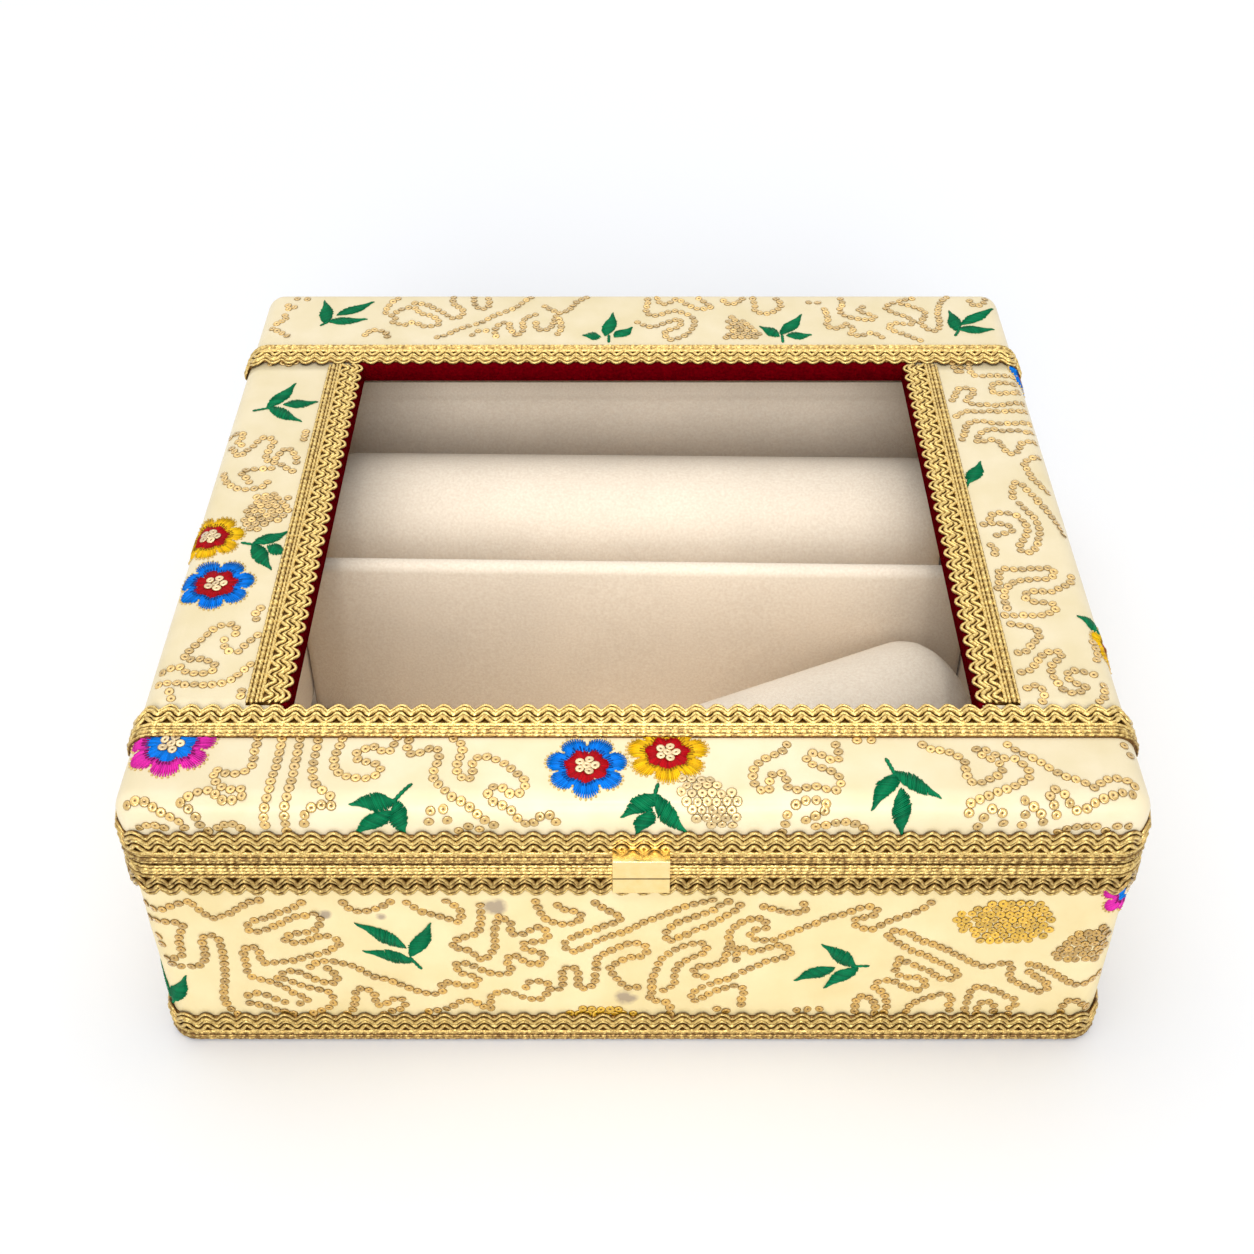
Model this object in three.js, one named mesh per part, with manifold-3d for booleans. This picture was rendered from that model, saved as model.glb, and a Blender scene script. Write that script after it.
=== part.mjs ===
// Bangle box: a cloth-covered board box with a hinged window lid and two velvet bangle rolls.
// Millimetres, +Z up, +X to the right and +Y to the rear, origin under the middle of the base.
import * as THREE from 'three';
import { mergeVertices } from 'three/addons/utils/BufferGeometryUtils.js';
import Module from 'manifold-3d';

const wasm = await Module();
wasm.setup();

// Outer size, measured over the cloth
const boxWidth = 251;
const boxDepth = 242;
const partingHeight = 72.5;
const lidHeight = 20;
const cornerRadius = 7;
const lidEdgeRadius = 6;

// Layers and the gaps left between them
const clothThickness = 1;
const glueGap = 0.3;
const partingGap = 0.4;
const wallBoard = 8;
const bottomBoard = 4;
const feltThickness = 1;
const feltInset = 4;
const footGap = 0.4;

// Gold braid
const braidWidth = 12.5;
const braidThickness = 1.5;

// Lid top: rails round the window, measured from the cloth's outer face
const sideRailWidth = 38;
const frontRailWidth = 34.3;
const rearRailWidth = 48.5;
const railBoard = 4.3;
const revealThickness = 0.8;
const revealDrop = 0.4;
const paneThickness = 2;
const paneLap = 6;
const paneLiningThickness = 2;
const paneLiningBack = 2;
const seamInset = 2;

// Velvet fittings inside the base
const floorLining = 2.2;
const wallLining = 1;
const liningDrop = 0.3;
const endPad = 13.4;
const endPadEdgeRadius = 5;
const endPadDrop = 3.5;
const dividerBoard = 3.2;
const dividerVelvet = 1;
const dividerDrop = 3.5;
const dividerSkewDegrees = -1.1;

// Bangle rolls
const rollRadius = 27;
const rollSkin = 1.5;
const rollEndPadding = 10;
const rollGatherRadius = 5;
const rearRollEdgeRadius = 4;
const rearRollEndGap = 1.5;
const rearRollSkewDegrees = -0.9;
const rearRollWallGap = 26.4;
const frontRollEdgeRadius = 9;
const frontRollSkewDegrees = 25;
const frontRollWallGap = 0.9;
const frontRollDividerGap = 7.9;
const frontRollEndGap = 0.6;

// Snap clasp
const claspWidth = 14;
const claspCentreX = 2;
const claspDepth = 3.4;
const claspUpperHeight = 6;
const claspLowerHeight = 5.1;
const claspSheet = 0.7;
const claspCrease = 0.6;
const claspProngWidth = 6;
const claspProngHeight = 1.6;
const claspProngLength = 9;
const tongueWidth = 8;
const tongueThickness = 0.8;
const tongueRise = 3.2;
const tongueRoot = 3;

// Rear hinges
const hingeSpacing = 140;
const hingeLength = 25;
const hingeLeafThickness = 1.2;
const hingeLeafMargin = 1.5;
const knuckleRadius = 1.9;
const hingePinRadius = 0.9;
const hingePinPlay = 0.2;
const middleKnuckle = 10;
const screwSpacing = 14;
const screwHeadRadius = 1.6;
const screwHeadHeight = 0.7;
const screwShankRadius = 0.8;
const screwLength = 8;
const screwSink = 0.1;

// Facets
const cornerSteps = 4;
const edgeSteps = 5;
const roundSteps = 16;
const rollSteps = 28;

// Heights of the layers, from the foot up
const lidTop = partingHeight + lidHeight;
const baseTop = partingHeight - partingGap / 2;
const lidBottom = partingHeight + partingGap / 2;
const clothLayer = clothThickness + glueGap;
const bottomBoardLow = feltThickness + glueGap;
const wallLow = bottomBoardLow + bottomBoard + glueGap;
const wallHigh = baseTop - clothLayer;
const floorTop = wallLow + floorLining;
const seatHeight = floorTop + glueGap;
const railHigh = lidTop - clothLayer;
const railLow = railHigh - railBoard;
const paneHigh = railLow - glueGap;
const paneLow = paneHigh - paneThickness;
const paneLiningHigh = paneLow - glueGap;
const paneLiningLow = paneLiningHigh - paneLiningThickness;
const skirtLow = lidBottom + clothLayer;
const skirtHigh = railLow - glueGap;

// Half sizes across the box, from the outside in
const halfWidth = boxWidth / 2;
const halfDepth = boxDepth / 2;
const boardHalfWidth = halfWidth - clothLayer;
const boardHalfDepth = halfDepth - clothLayer;
const innerHalfWidth = boardHalfWidth - wallBoard;
const innerHalfDepth = boardHalfDepth - wallBoard;
const linedHalfDepth = innerHalfDepth - glueGap - wallLining;
const padHalfWidth = innerHalfWidth - glueGap - endPad;
const dividerHalf = dividerBoard / 2 + glueGap + dividerVelvet;
const braidFace = glueGap + braidThickness;

// Window edges, over the velvet reveal
const windowHalfWidth = halfWidth - sideRailWidth;
const windowFront = -halfDepth + frontRailWidth;
const windowRear = halfDepth - rearRailWidth;
const revealLayer = revealThickness + glueGap;

// Finishes
const finishes = {
  cloth: { color: 0xf2e6c2, roughness: 0.45, metalness: 0 },
  braid: { color: 0xb58d45, roughness: 0.4, metalness: 0.7 },
  velvet: { color: 0xd9c7b0, roughness: 0.95, metalness: 0 },
  redVelvet: { color: 0x5a0612, roughness: 0.95, metalness: 0 },
  board: { color: 0xb08d5e, roughness: 0.85, metalness: 0 },
  felt: { color: 0xcbbfa8, roughness: 0.95, metalness: 0 },
  foam: { color: 0xe6e2d4, roughness: 0.95, metalness: 0 },
  pane: { color: 0xf4f8f8, roughness: 0.05, metalness: 0, transparent: true, opacity: 0.25 },
  brass: { color: 0xdcb85e, roughness: 0.2, metalness: 1 },
};

const bangleBox = new THREE.Group();

// Closed three.js geometry as a solid that can be cut: shared corners merged, thin faces dropped.
function solidOf(geometry) {
  geometry.deleteAttribute('normal');
  geometry.deleteAttribute('uv');
  const merged = mergeVertices(geometry, 1e-4);
  const corners = merged.index.array;
  const kept = [];
  for (let i = 0; i < corners.length; i += 3) {
    const [a, b, c] = corners.slice(i, i + 3);
    if (a !== b && b !== c && c !== a) {
      kept.push(a, b, c);
    }
  }
  return new wasm.Manifold(new wasm.Mesh({
    numProp: 3,
    vertProperties: new Float32Array(merged.attributes.position.array),
    triVerts: new Uint32Array(kept),
  }));
}

// One named piece with its own material, added to the box.
function addPiece(name, solid, finish) {
  const { vertProperties, triVerts } = solid.getMesh();
  const indexed = new THREE.BufferGeometry();
  indexed.setAttribute('position', new THREE.BufferAttribute(new Float32Array(vertProperties), 3));
  indexed.setIndex(new THREE.BufferAttribute(new Uint32Array(triVerts), 1));
  const geometry = indexed.toNonIndexed();
  geometry.computeVertexNormals();
  const mesh = new THREE.Mesh(geometry, new THREE.MeshStandardMaterial(finishes[finish]));
  mesh.name = name;
  bangleBox.add(mesh);
}

// Plain block between two corners.
function block([x0, y0, z0], [x1, y1, z1]) {
  const geometry = new THREE.BoxGeometry(x1 - x0, y1 - y0, z1 - z0);
  geometry.translate((x0 + x1) / 2, (y0 + y1) / 2, (z0 + z1) / 2);
  return solidOf(geometry);
}

// Points of a centred rectangle with rounded corners, anticlockwise.
function roundedOutline(width, depth, radius) {
  const points = [];
  const middles = [[1, 1], [-1, 1], [-1, -1], [1, -1]];
  middles.forEach(([sideX, sideY], quarter) => {
    for (let step = 0; step <= cornerSteps; step += 1) {
      const angle = (quarter + step / cornerSteps) * Math.PI / 2;
      points.push([
        sideX * (width / 2 - radius) + radius * Math.cos(angle),
        sideY * (depth / 2 - radius) + radius * Math.sin(angle),
      ]);
    }
  });
  return points;
}

// Solid skinned over convex outlines of equal point count, each at its own height.
function stacked(layers) {
  const count = layers[0].outline.length;
  const last = (layers.length - 1) * count;
  const positions = layers.flatMap(({ outline, z }) => outline.flatMap(([x, y]) => [x, y, z]));
  const faces = [];
  for (let layer = 0; layer < layers.length - 1; layer += 1) {
    for (let i = 0; i < count; i += 1) {
      const a = layer * count + i;
      const b = layer * count + (i + 1) % count;
      faces.push(a, b, b + count, a, b + count, a + count);
    }
  }
  for (let i = 1; i < count - 1; i += 1) {
    faces.push(0, i + 1, i);
    faces.push(last, last + i, last + i + 1);
  }
  const geometry = new THREE.BufferGeometry();
  geometry.setAttribute('position', new THREE.Float32BufferAttribute(positions, 3));
  geometry.setIndex(faces);
  return solidOf(geometry);
}

// Upright block with the box's plan, let out all round by an offset.
function planBlock(offset, low, high) {
  const outline = roundedOutline(boxWidth + 2 * offset, boxDepth + 2 * offset, cornerRadius + offset);
  return stacked([{ outline, z: low }, { outline, z: high }]);
}

// Ring that follows the box's plan between two offsets.
function planRing(inner, outer, low, high) {
  return planBlock(outer, low, high).subtract(planBlock(inner, low - 1, high + 1));
}

// The lid's outer form, rounded over its top edge, let out all round by an offset.
function lidForm(offset, low) {
  const radius = lidEdgeRadius + offset;
  const layers = [{ outline: roundedOutline(boxWidth + 2 * offset, boxDepth + 2 * offset,
    cornerRadius + offset), z: low }];
  for (let step = 0; step <= edgeSteps; step += 1) {
    const angle = (step / edgeSteps) * Math.PI / 2;
    const inset = radius * (1 - Math.cos(angle)) - offset;
    layers.push({
      outline: roundedOutline(boxWidth - 2 * inset, boxDepth - 2 * inset, cornerRadius - inset),
      z: lidTop - lidEdgeRadius + radius * Math.sin(angle),
    });
  }
  return stacked(layers);
}

// Round bar along X about the given centre.
function barAlongX(radius, x0, x1, y, z) {
  const geometry = new THREE.CylinderGeometry(radius, radius, x1 - x0, roundSteps);
  geometry.rotateZ(Math.PI / 2);
  geometry.translate((x0 + x1) / 2, y, z);
  return solidOf(geometry);
}

// Round body turned about Z from a profile of [radius, height] points.
function turned(profile, steps) {
  const points = profile.map(([radius, height]) => new THREE.Vector2(radius, height));
  const geometry = new THREE.LatheGeometry(points, steps);
  geometry.rotateX(Math.PI / 2);
  return solidOf(geometry);
}

// Clasp: where it stands and the prongs that pass through braid, cloth and board.
const claspBack = -halfDepth - braidFace - glueGap;
const claspFront = claspBack - claspDepth;
const claspLeft = claspCentreX - claspWidth / 2;
const claspRight = claspCentreX + claspWidth / 2;
const claspUpperTop = lidBottom + claspUpperHeight;
const claspLowerLow = baseTop - claspLowerHeight;
const prongEnd = claspBack + claspProngLength;

function claspProng(middleHeight, play) {
  return block(
    [claspCentreX - claspProngWidth / 2 - play, claspBack - claspSheet * (play ? 0 : 1),
      middleHeight - claspProngHeight / 2 - play],
    [claspCentreX + claspProngWidth / 2 + play, prongEnd + play,
      middleHeight + claspProngHeight / 2 + play],
  );
}

const prongUpperHeight = claspUpperTop - claspSheet - claspProngHeight;
const prongLowerHeight = claspLowerLow + claspSheet + claspProngHeight;
const upperProngSlot = claspProng(prongUpperHeight, glueGap);
const lowerProngSlot = claspProng(prongLowerHeight, glueGap);

// Hinges: the axis runs just behind the braid, level with the parting.
const hingeAxisY = halfDepth + braidFace + glueGap + knuckleRadius;
const hingeInner = innerHalfDepth + hingeLeafMargin;
const boreRadius = hingePinRadius + hingePinPlay;
const hingeHalf = hingeLength / 2;
const middleKnuckleHalf = middleKnuckle / 2;
const screwY = (hingeInner + boardHalfDepth) / 2;
const hinges = [
  { side: 'left', x: -hingeSpacing / 2 },
  { side: 'right', x: hingeSpacing / 2 },
];

// Room that a hinge leaf and its screws take out of the layers they are let into.
function hingePocket(x, low, high) {
  return block(
    [x - hingeHalf - glueGap, hingeInner - glueGap, low],
    [x + hingeHalf + glueGap, hingeAxisY, high],
  );
}

function screwHoles(x, low, high) {
  const radius = screwShankRadius + glueGap;
  return [-1, 1].map((sign) => turned([[0, low], [radius, low], [radius, high], [0, high]], roundSteps)
    .translate([x + sign * screwSpacing / 2, screwY, 0]));
}

const leafLow = baseTop - hingeLeafThickness;
const leafHigh = lidBottom + hingeLeafThickness;
const baseHingeCuts = hinges.flatMap(({ x }) => [
  hingePocket(x, leafLow - glueGap, partingHeight),
  ...screwHoles(x, baseTop - screwLength - 2 * glueGap, partingHeight),
]);
const lidHingeCuts = hinges.flatMap(({ x }) => [
  hingePocket(x, partingHeight, leafHigh + glueGap),
  ...screwHoles(x, partingHeight, lidBottom + screwLength + 2 * glueGap),
]);

function cutAll(solid, tools) {
  return tools.reduce((rest, tool) => rest.subtract(tool), solid);
}

// Base carcase: felt, bottom board and four walls butted at the corners.
const feltOutline = roundedOutline(boxWidth - 2 * feltInset, boxDepth - 2 * feltInset, cornerRadius);
addPiece('base_felt', stacked([{ outline: feltOutline, z: 0 }, { outline: feltOutline, z: feltThickness }]),
  'felt');
addPiece('base_bottom_board', planBlock(-clothLayer, bottomBoardLow, bottomBoardLow + bottomBoard), 'board');

const baseWalls = planBlock(-clothLayer, wallLow, wallHigh);
const far = boxWidth + boxDepth;
const frontHalfSpace = block([-far, -far, -far], [far, -innerHalfDepth, far]);
const rearHalfSpace = block([-far, innerHalfDepth, -far], [far, far, far]);
const leftWallSpace = block([-far, -innerHalfDepth + glueGap, -far],
  [-innerHalfWidth, innerHalfDepth - glueGap, far]);
const rightWallSpace = block([innerHalfWidth, -innerHalfDepth + glueGap, -far],
  [far, innerHalfDepth - glueGap, far]);

addPiece('base_front_board', baseWalls.intersect(frontHalfSpace).subtract(lowerProngSlot), 'board');
addPiece('base_rear_board', cutAll(baseWalls.intersect(rearHalfSpace), baseHingeCuts), 'board');
addPiece('base_left_board', baseWalls.intersect(leftWallSpace), 'board');
addPiece('base_right_board', baseWalls.intersect(rightWallSpace), 'board');

// Base cloth: one wrap round the walls, turned in over the rim as far as the boards' inner faces.
const baseMouth = block([-innerHalfWidth, -innerHalfDepth, -far], [innerHalfWidth, innerHalfDepth, far]);
const baseCloth = planBlock(0, footGap, baseTop)
  .subtract(planBlock(-clothThickness, -far, baseTop - clothThickness))
  .subtract(baseMouth);
addPiece('base_cloth', cutAll(baseCloth, [lowerProngSlot, ...baseHingeCuts]), 'cloth');

// Base braids: one band under the rim and one round the foot.
const baseRimBraid = planRing(glueGap, braidFace, baseTop - braidWidth, baseTop);
addPiece('base_rim_braid', cutAll(baseRimBraid, [lowerProngSlot, ...baseHingeCuts]), 'braid');
addPiece('base_foot_braid', planRing(glueGap, braidFace, footGap, footGap + braidWidth), 'braid');

// Velvet fittings: floor, front and rear linings, padded ends and the divider between them,
// which stands very slightly askew.
addPiece('floor_lining', block(
  [-innerHalfWidth + glueGap, -innerHalfDepth + glueGap, wallLow],
  [innerHalfWidth - glueGap, innerHalfDepth - glueGap, floorTop],
), 'velvet');

const liningTop = baseTop - liningDrop;
for (const [side, sign] of [['front', -1], ['rear', 1]]) {
  const faces = [sign * linedHalfDepth, sign * (innerHalfDepth - glueGap)].sort((a, b) => a - b);
  addPiece(`${side}_lining`, block(
    [-innerHalfWidth + glueGap, faces[0], seatHeight],
    [innerHalfWidth - glueGap, faces[1], liningTop],
  ), 'velvet');
}

// Padded end: flat at the back, with its inner face rounded over at the edges.
function endPanel(sign) {
  const depth = 2 * (linedHalfDepth - glueGap);
  const height = baseTop - endPadDrop - seatHeight;
  const layers = [{ outline: roundedOutline(depth, height, endPadEdgeRadius), z: 0 }];
  for (let step = 0; step <= edgeSteps; step += 1) {
    const angle = (step / edgeSteps) * Math.PI / 2;
    const inset = (endPadEdgeRadius - clothThickness) * (1 - Math.cos(angle));
    layers.push({
      outline: roundedOutline(depth - 2 * inset, height - 2 * inset, endPadEdgeRadius - inset),
      z: endPad - endPadEdgeRadius + endPadEdgeRadius * Math.sin(angle),
    });
  }
  return stacked(layers)
    .rotate([90, 0, 90])
    .rotate([0, 0, sign > 0 ? 180 : 0])
    .translate([sign * (innerHalfWidth - glueGap), 0, seatHeight + height / 2]);
}

addPiece('left_end_pad', endPanel(-1), 'velvet');
addPiece('right_end_pad', endPanel(1), 'velvet');

const dividerTop = baseTop - dividerDrop;
const dividerReach = padHalfWidth - glueGap;
const dividerBoardTop = dividerTop - dividerVelvet - glueGap;
addPiece('divider_board', block(
  [-dividerReach, -dividerBoard / 2, seatHeight],
  [dividerReach, dividerBoard / 2, dividerBoardTop],
).rotate([0, 0, dividerSkewDegrees]), 'board');

const sleeveShape = new THREE.Shape();
sleeveShape.moveTo(-dividerHalf, seatHeight);
sleeveShape.lineTo(-dividerBoard / 2 - glueGap, seatHeight);
sleeveShape.lineTo(-dividerBoard / 2 - glueGap, dividerBoardTop + glueGap);
sleeveShape.lineTo(dividerBoard / 2 + glueGap, dividerBoardTop + glueGap);
sleeveShape.lineTo(dividerBoard / 2 + glueGap, seatHeight);
sleeveShape.lineTo(dividerHalf, seatHeight);
sleeveShape.lineTo(dividerHalf, dividerTop - dividerVelvet);
sleeveShape.absarc(dividerHalf - dividerVelvet, dividerTop - dividerVelvet, dividerVelvet, 0, Math.PI / 2);
sleeveShape.absarc(-dividerHalf + dividerVelvet, dividerTop - dividerVelvet, dividerVelvet, Math.PI / 2,
  Math.PI);
const sleeve = new THREE.ExtrudeGeometry(sleeveShape, {
  depth: 2 * dividerReach,
  bevelEnabled: false,
  curveSegments: cornerSteps,
});
sleeve.translate(0, 0, -dividerReach);
addPiece('divider_velvet', solidOf(sleeve).rotate([90, 0, 90 + dividerSkewDegrees]), 'velvet');

// Lid carcase: four rails round the window, rounded over the lid's edge, and four skirts below.
const lidBoards = lidForm(-clothLayer, skirtLow);
const railForm = lidBoards.intersect(block([-far, -far, railLow], [far, far, far]));
const cutHalfWidth = windowHalfWidth + revealLayer;
const cutFront = windowFront - revealLayer;
const cutRear = windowRear + revealLayer;
const frontRailSpace = block([-far, -far, -far], [far, cutFront, far]);
const rearRailSpace = block([-far, cutRear, -far], [far, far, far]);
const leftRailSpace = block([-far, cutFront + glueGap, -far], [-cutHalfWidth, cutRear - glueGap, far]);
const rightRailSpace = block([cutHalfWidth, cutFront + glueGap, -far], [far, cutRear - glueGap, far]);
addPiece('lid_front_rail', railForm.intersect(frontRailSpace), 'board');
addPiece('lid_rear_rail', railForm.intersect(rearRailSpace), 'board');
addPiece('lid_left_rail', railForm.intersect(leftRailSpace), 'board');
addPiece('lid_right_rail', railForm.intersect(rightRailSpace), 'board');

const lidWalls = lidBoards.intersect(block([-far, -far, -far], [far, far, skirtHigh]));
addPiece('lid_front_skirt', lidWalls.intersect(frontHalfSpace).subtract(upperProngSlot), 'board');
addPiece('lid_rear_skirt', cutAll(lidWalls.intersect(rearHalfSpace), lidHingeCuts), 'board');
addPiece('lid_left_skirt', lidWalls.intersect(leftWallSpace), 'board');
addPiece('lid_right_skirt', lidWalls.intersect(rightWallSpace), 'board');

// Lid cloth: four pieces over rails and skirts, turned in under the rim, seamed beneath the braids.
const windowHole = block([-cutHalfWidth, cutFront, -far], [cutHalfWidth, cutRear, far]);
const lidCloth = cutAll(lidForm(0, lidBottom)
  .subtract(lidForm(-clothThickness, lidBottom + clothThickness))
  .subtract(windowHole)
  .subtract(block([-innerHalfWidth, -innerHalfDepth, -far], [innerHalfWidth, innerHalfDepth, skirtLow])),
[upperProngSlot, ...lidHingeCuts]);
const frontSeam = windowFront - seamInset;
const rearSeam = windowRear + seamInset;
addPiece('lid_front_cloth', lidCloth.intersect(block([-far, -far, -far], [far, frontSeam, far])), 'cloth');
addPiece('lid_rear_cloth', lidCloth.intersect(block([-far, rearSeam, -far], [far, far, far])), 'cloth');
addPiece('lid_left_cloth', lidCloth.intersect(block([-far, frontSeam + glueGap, -far],
  [-cutHalfWidth, rearSeam - glueGap, far])), 'cloth');
addPiece('lid_right_cloth', lidCloth.intersect(block([cutHalfWidth, frontSeam + glueGap, -far],
  [far, rearSeam - glueGap, far])), 'cloth');

// Lid braids: a band round the rim, front and rear lengths over the edges, side lengths between them.
const lidRimBraidTop = lidBottom + braidWidth;
const lidRimBraid = planRing(glueGap, braidFace, lidBottom, lidRimBraidTop);
addPiece('lid_rim_braid', cutAll(lidRimBraid, [upperProngSlot, ...lidHingeCuts]), 'braid');

const braidShell = lidForm(braidFace, lidRimBraidTop + glueGap).subtract(lidForm(glueGap, lidBottom));
addPiece('lid_front_braid', braidShell.intersect(block([-far, windowFront - braidWidth, -far],
  [far, windowFront, far])), 'braid');
addPiece('lid_rear_braid', braidShell.intersect(block([-far, windowRear, -far],
  [far, windowRear + braidWidth, far])), 'braid');
addPiece('lid_left_braid', block(
  [-windowHalfWidth - braidWidth, windowFront + glueGap, lidTop + glueGap],
  [-windowHalfWidth, windowRear - glueGap, lidTop + braidFace],
), 'braid');
addPiece('lid_right_braid', block(
  [windowHalfWidth, windowFront + glueGap, lidTop + glueGap],
  [windowHalfWidth + braidWidth, windowRear - glueGap, lidTop + braidFace],
), 'braid');

// Window: velvet reveal round the opening, pane under the rails, lining strips that hold the pane.
const revealOuter = block(
  [-windowHalfWidth - revealThickness, windowFront - revealThickness, railLow],
  [windowHalfWidth + revealThickness, windowRear + revealThickness, lidTop - revealDrop],
);
const revealInner = block([-windowHalfWidth, windowFront, -far], [windowHalfWidth, windowRear, far]);
addPiece('window_reveal', revealOuter.subtract(revealInner), 'redVelvet');
addPiece('window_pane', block(
  [-windowHalfWidth - paneLap, windowFront - paneLap, paneLow],
  [windowHalfWidth + paneLap, windowRear + paneLap, paneHigh],
), 'pane');

const stripOuterX = innerHalfWidth - glueGap;
const stripOuterY = innerHalfDepth - glueGap;
const stripInnerX = windowHalfWidth + paneLiningBack;
const stripFront = windowFront - paneLiningBack;
const stripRear = windowRear + paneLiningBack;

function paneLining([x0, y0], [x1, y1]) {
  return block([x0, y0, paneLiningLow], [x1, y1, paneLiningHigh]);
}

addPiece('lid_front_lining', paneLining([-stripOuterX, -stripOuterY], [stripOuterX, stripFront]), 'velvet');
addPiece('lid_rear_lining', paneLining([-stripOuterX, stripRear], [stripOuterX, stripOuterY]), 'velvet');
addPiece('lid_left_lining', paneLining([-stripOuterX, stripFront + glueGap],
  [-stripInnerX, stripRear - glueGap]), 'velvet');
addPiece('lid_right_lining', paneLining([stripInnerX, stripFront + glueGap],
  [stripOuterX, stripRear - glueGap]), 'velvet');

// Snap clasp: two brass boxes that meet at the parting, and a spring tongue from one into the other.
const tongueY = (claspFront + claspBack) / 2;

function tongueRoom(low, high, play) {
  return block(
    [claspCentreX - tongueWidth / 2 - play, tongueY - tongueThickness / 2 - play, low],
    [claspCentreX + tongueWidth / 2 + play, tongueY + tongueThickness / 2 + play, high],
  );
}

function claspBody(low, high) {
  const height = high - low;
  const shape = roundedOutline(claspWidth, height, claspCrease);
  return stacked([{ outline: shape, z: 0 }, { outline: shape, z: claspDepth }])
    .rotate([90, 0, 0])
    .translate([claspCentreX, claspBack, low + height / 2]);
}

addPiece('clasp_upper', claspBody(lidBottom, claspUpperTop)
  .add(claspProng(prongUpperHeight, 0))
  .subtract(tongueRoom(lidBottom - glueGap, baseTop + tongueRise + glueGap, glueGap)), 'brass');
addPiece('clasp_lower', claspBody(claspLowerLow, baseTop)
  .add(claspProng(prongLowerHeight, 0))
  .subtract(tongueRoom(baseTop - tongueRoot - glueGap, lidBottom, glueGap)), 'brass');
addPiece('clasp_tongue', tongueRoom(baseTop - tongueRoot, baseTop + tongueRise, 0), 'brass');

// Hinges: leaves let into the rims, knuckles behind the braid, a pin through them and two screws a leaf.
function hingeLeaf(x, low, high, outer) {
  const spans = outer
    ? [[-hingeHalf, -middleKnuckleHalf - glueGap], [middleKnuckleHalf + glueGap, hingeHalf]]
    : [[-middleKnuckleHalf + glueGap, middleKnuckleHalf - glueGap]];
  const plateEnd = hingeAxisY - knuckleRadius - glueGap;
  const plate = block([x - hingeHalf, hingeInner, low], [x + hingeHalf, plateEnd, high]);
  const leaf = spans.reduce((rest, [from, to]) => rest
    .add(barAlongX(knuckleRadius, x + from, x + to, hingeAxisY, partingHeight))
    .add(block([x + from, plateEnd - glueGap, low], [x + to, hingeAxisY, high])), plate);
  const bore = barAlongX(boreRadius, x - hingeLength, x + hingeLength, hingeAxisY, partingHeight);
  return leaf.subtract(bore);
}

// Flat-headed screw with its head uppermost at height zero and a pointed end.
const screwProfile = [
  [0, -screwLength],
  [screwShankRadius, -screwLength + screwShankRadius],
  [screwShankRadius, -screwHeadHeight],
  [screwHeadRadius, -screwHeadHeight],
  [screwHeadRadius, 0],
  [0, 0],
];
const seatRadius = screwHeadRadius + glueGap;
const seatDepth = screwHeadHeight + 2 * screwSink;
const headSeat = turned([[0, -seatDepth], [seatRadius, -seatDepth], [seatRadius, 1], [0, 1]], roundSteps);

for (const { side, x } of hinges) {
  const screwXs = [x - screwSpacing / 2, x + screwSpacing / 2];
  const baseSeats = screwXs.map((screwX) => headSeat.translate([screwX, screwY, baseTop]));
  const lidSeats = screwXs.map((screwX) => headSeat.rotate([180, 0, 0])
    .translate([screwX, screwY, lidBottom]));
  const holes = screwHoles(x, leafLow - 1, leafHigh + 1);
  addPiece(`${side}_hinge_base_leaf`,
    cutAll(hingeLeaf(x, leafLow, baseTop, true), [...baseSeats, ...holes]), 'brass');
  addPiece(`${side}_hinge_lid_leaf`,
    cutAll(hingeLeaf(x, lidBottom, leafHigh, false), [...lidSeats, ...holes]), 'brass');
  addPiece(`${side}_hinge_pin`,
    barAlongX(hingePinRadius, x - hingeHalf, x + hingeHalf, hingeAxisY, partingHeight), 'brass');
  screwXs.forEach((screwX, i) => {
    const screw = turned(screwProfile, roundSteps / 2);
    addPiece(`${side}_hinge_base_screw_${i + 1}`,
      screw.translate([screwX, screwY, baseTop - screwSink]), 'brass');
    addPiece(`${side}_hinge_lid_screw_${i + 1}`,
      screw.rotate([180, 0, 0]).translate([screwX, screwY, lidBottom + screwSink]), 'brass');
  });
}

// Bangle rolls: a foam core in a padded velvet sleeve whose ends are gathered to a small hole.
function rollProfile(halfLength, edgeRadius) {
  const upper = [];
  for (let step = 0; step <= edgeSteps; step += 1) {
    const angle = (step / edgeSteps) * Math.PI / 2;
    upper.push([
      rollRadius - edgeRadius * (1 - Math.cos(angle)),
      halfLength - edgeRadius * (1 - Math.sin(angle)),
    ]);
  }
  const lower = upper.map(([radius, height]) => [radius, -height]).reverse();
  return [[0, -halfLength], ...lower, ...upper, [0, halfLength]];
}

function plainRod(radius, halfLength) {
  return turned([[0, -halfLength], [radius, -halfLength], [radius, halfLength], [0, halfLength]], rollSteps);
}

function addRoll(name, halfLength, edgeRadius, turnDegrees, place) {
  const boreRoom = rollRadius - rollSkin;
  const boreHalf = halfLength - rollEndPadding;
  const sleeveSolid = turned(rollProfile(halfLength, edgeRadius), rollSteps)
    .subtract(plainRod(boreRoom, boreHalf))
    .subtract(plainRod(rollGatherRadius, halfLength + glueGap));
  const laid = (solid) => solid.rotate([0, 90, 0]).rotate([0, 0, turnDegrees]).translate(place);
  addPiece(`${name}_roll_core`, laid(plainRod(boreRoom - glueGap, boreHalf - glueGap)), 'foam');
  addPiece(`${name}_roll_velvet`, laid(sleeveSolid), 'velvet');
}

const rollHeight = seatHeight + rollRadius;
const rearRollY = linedHalfDepth - rearRollWallGap - rollRadius;
addRoll('rear', padHalfWidth - rearRollEndGap, rearRollEdgeRadius, rearRollSkewDegrees, [
  0, rearRollY, rollHeight,
]);

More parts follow.
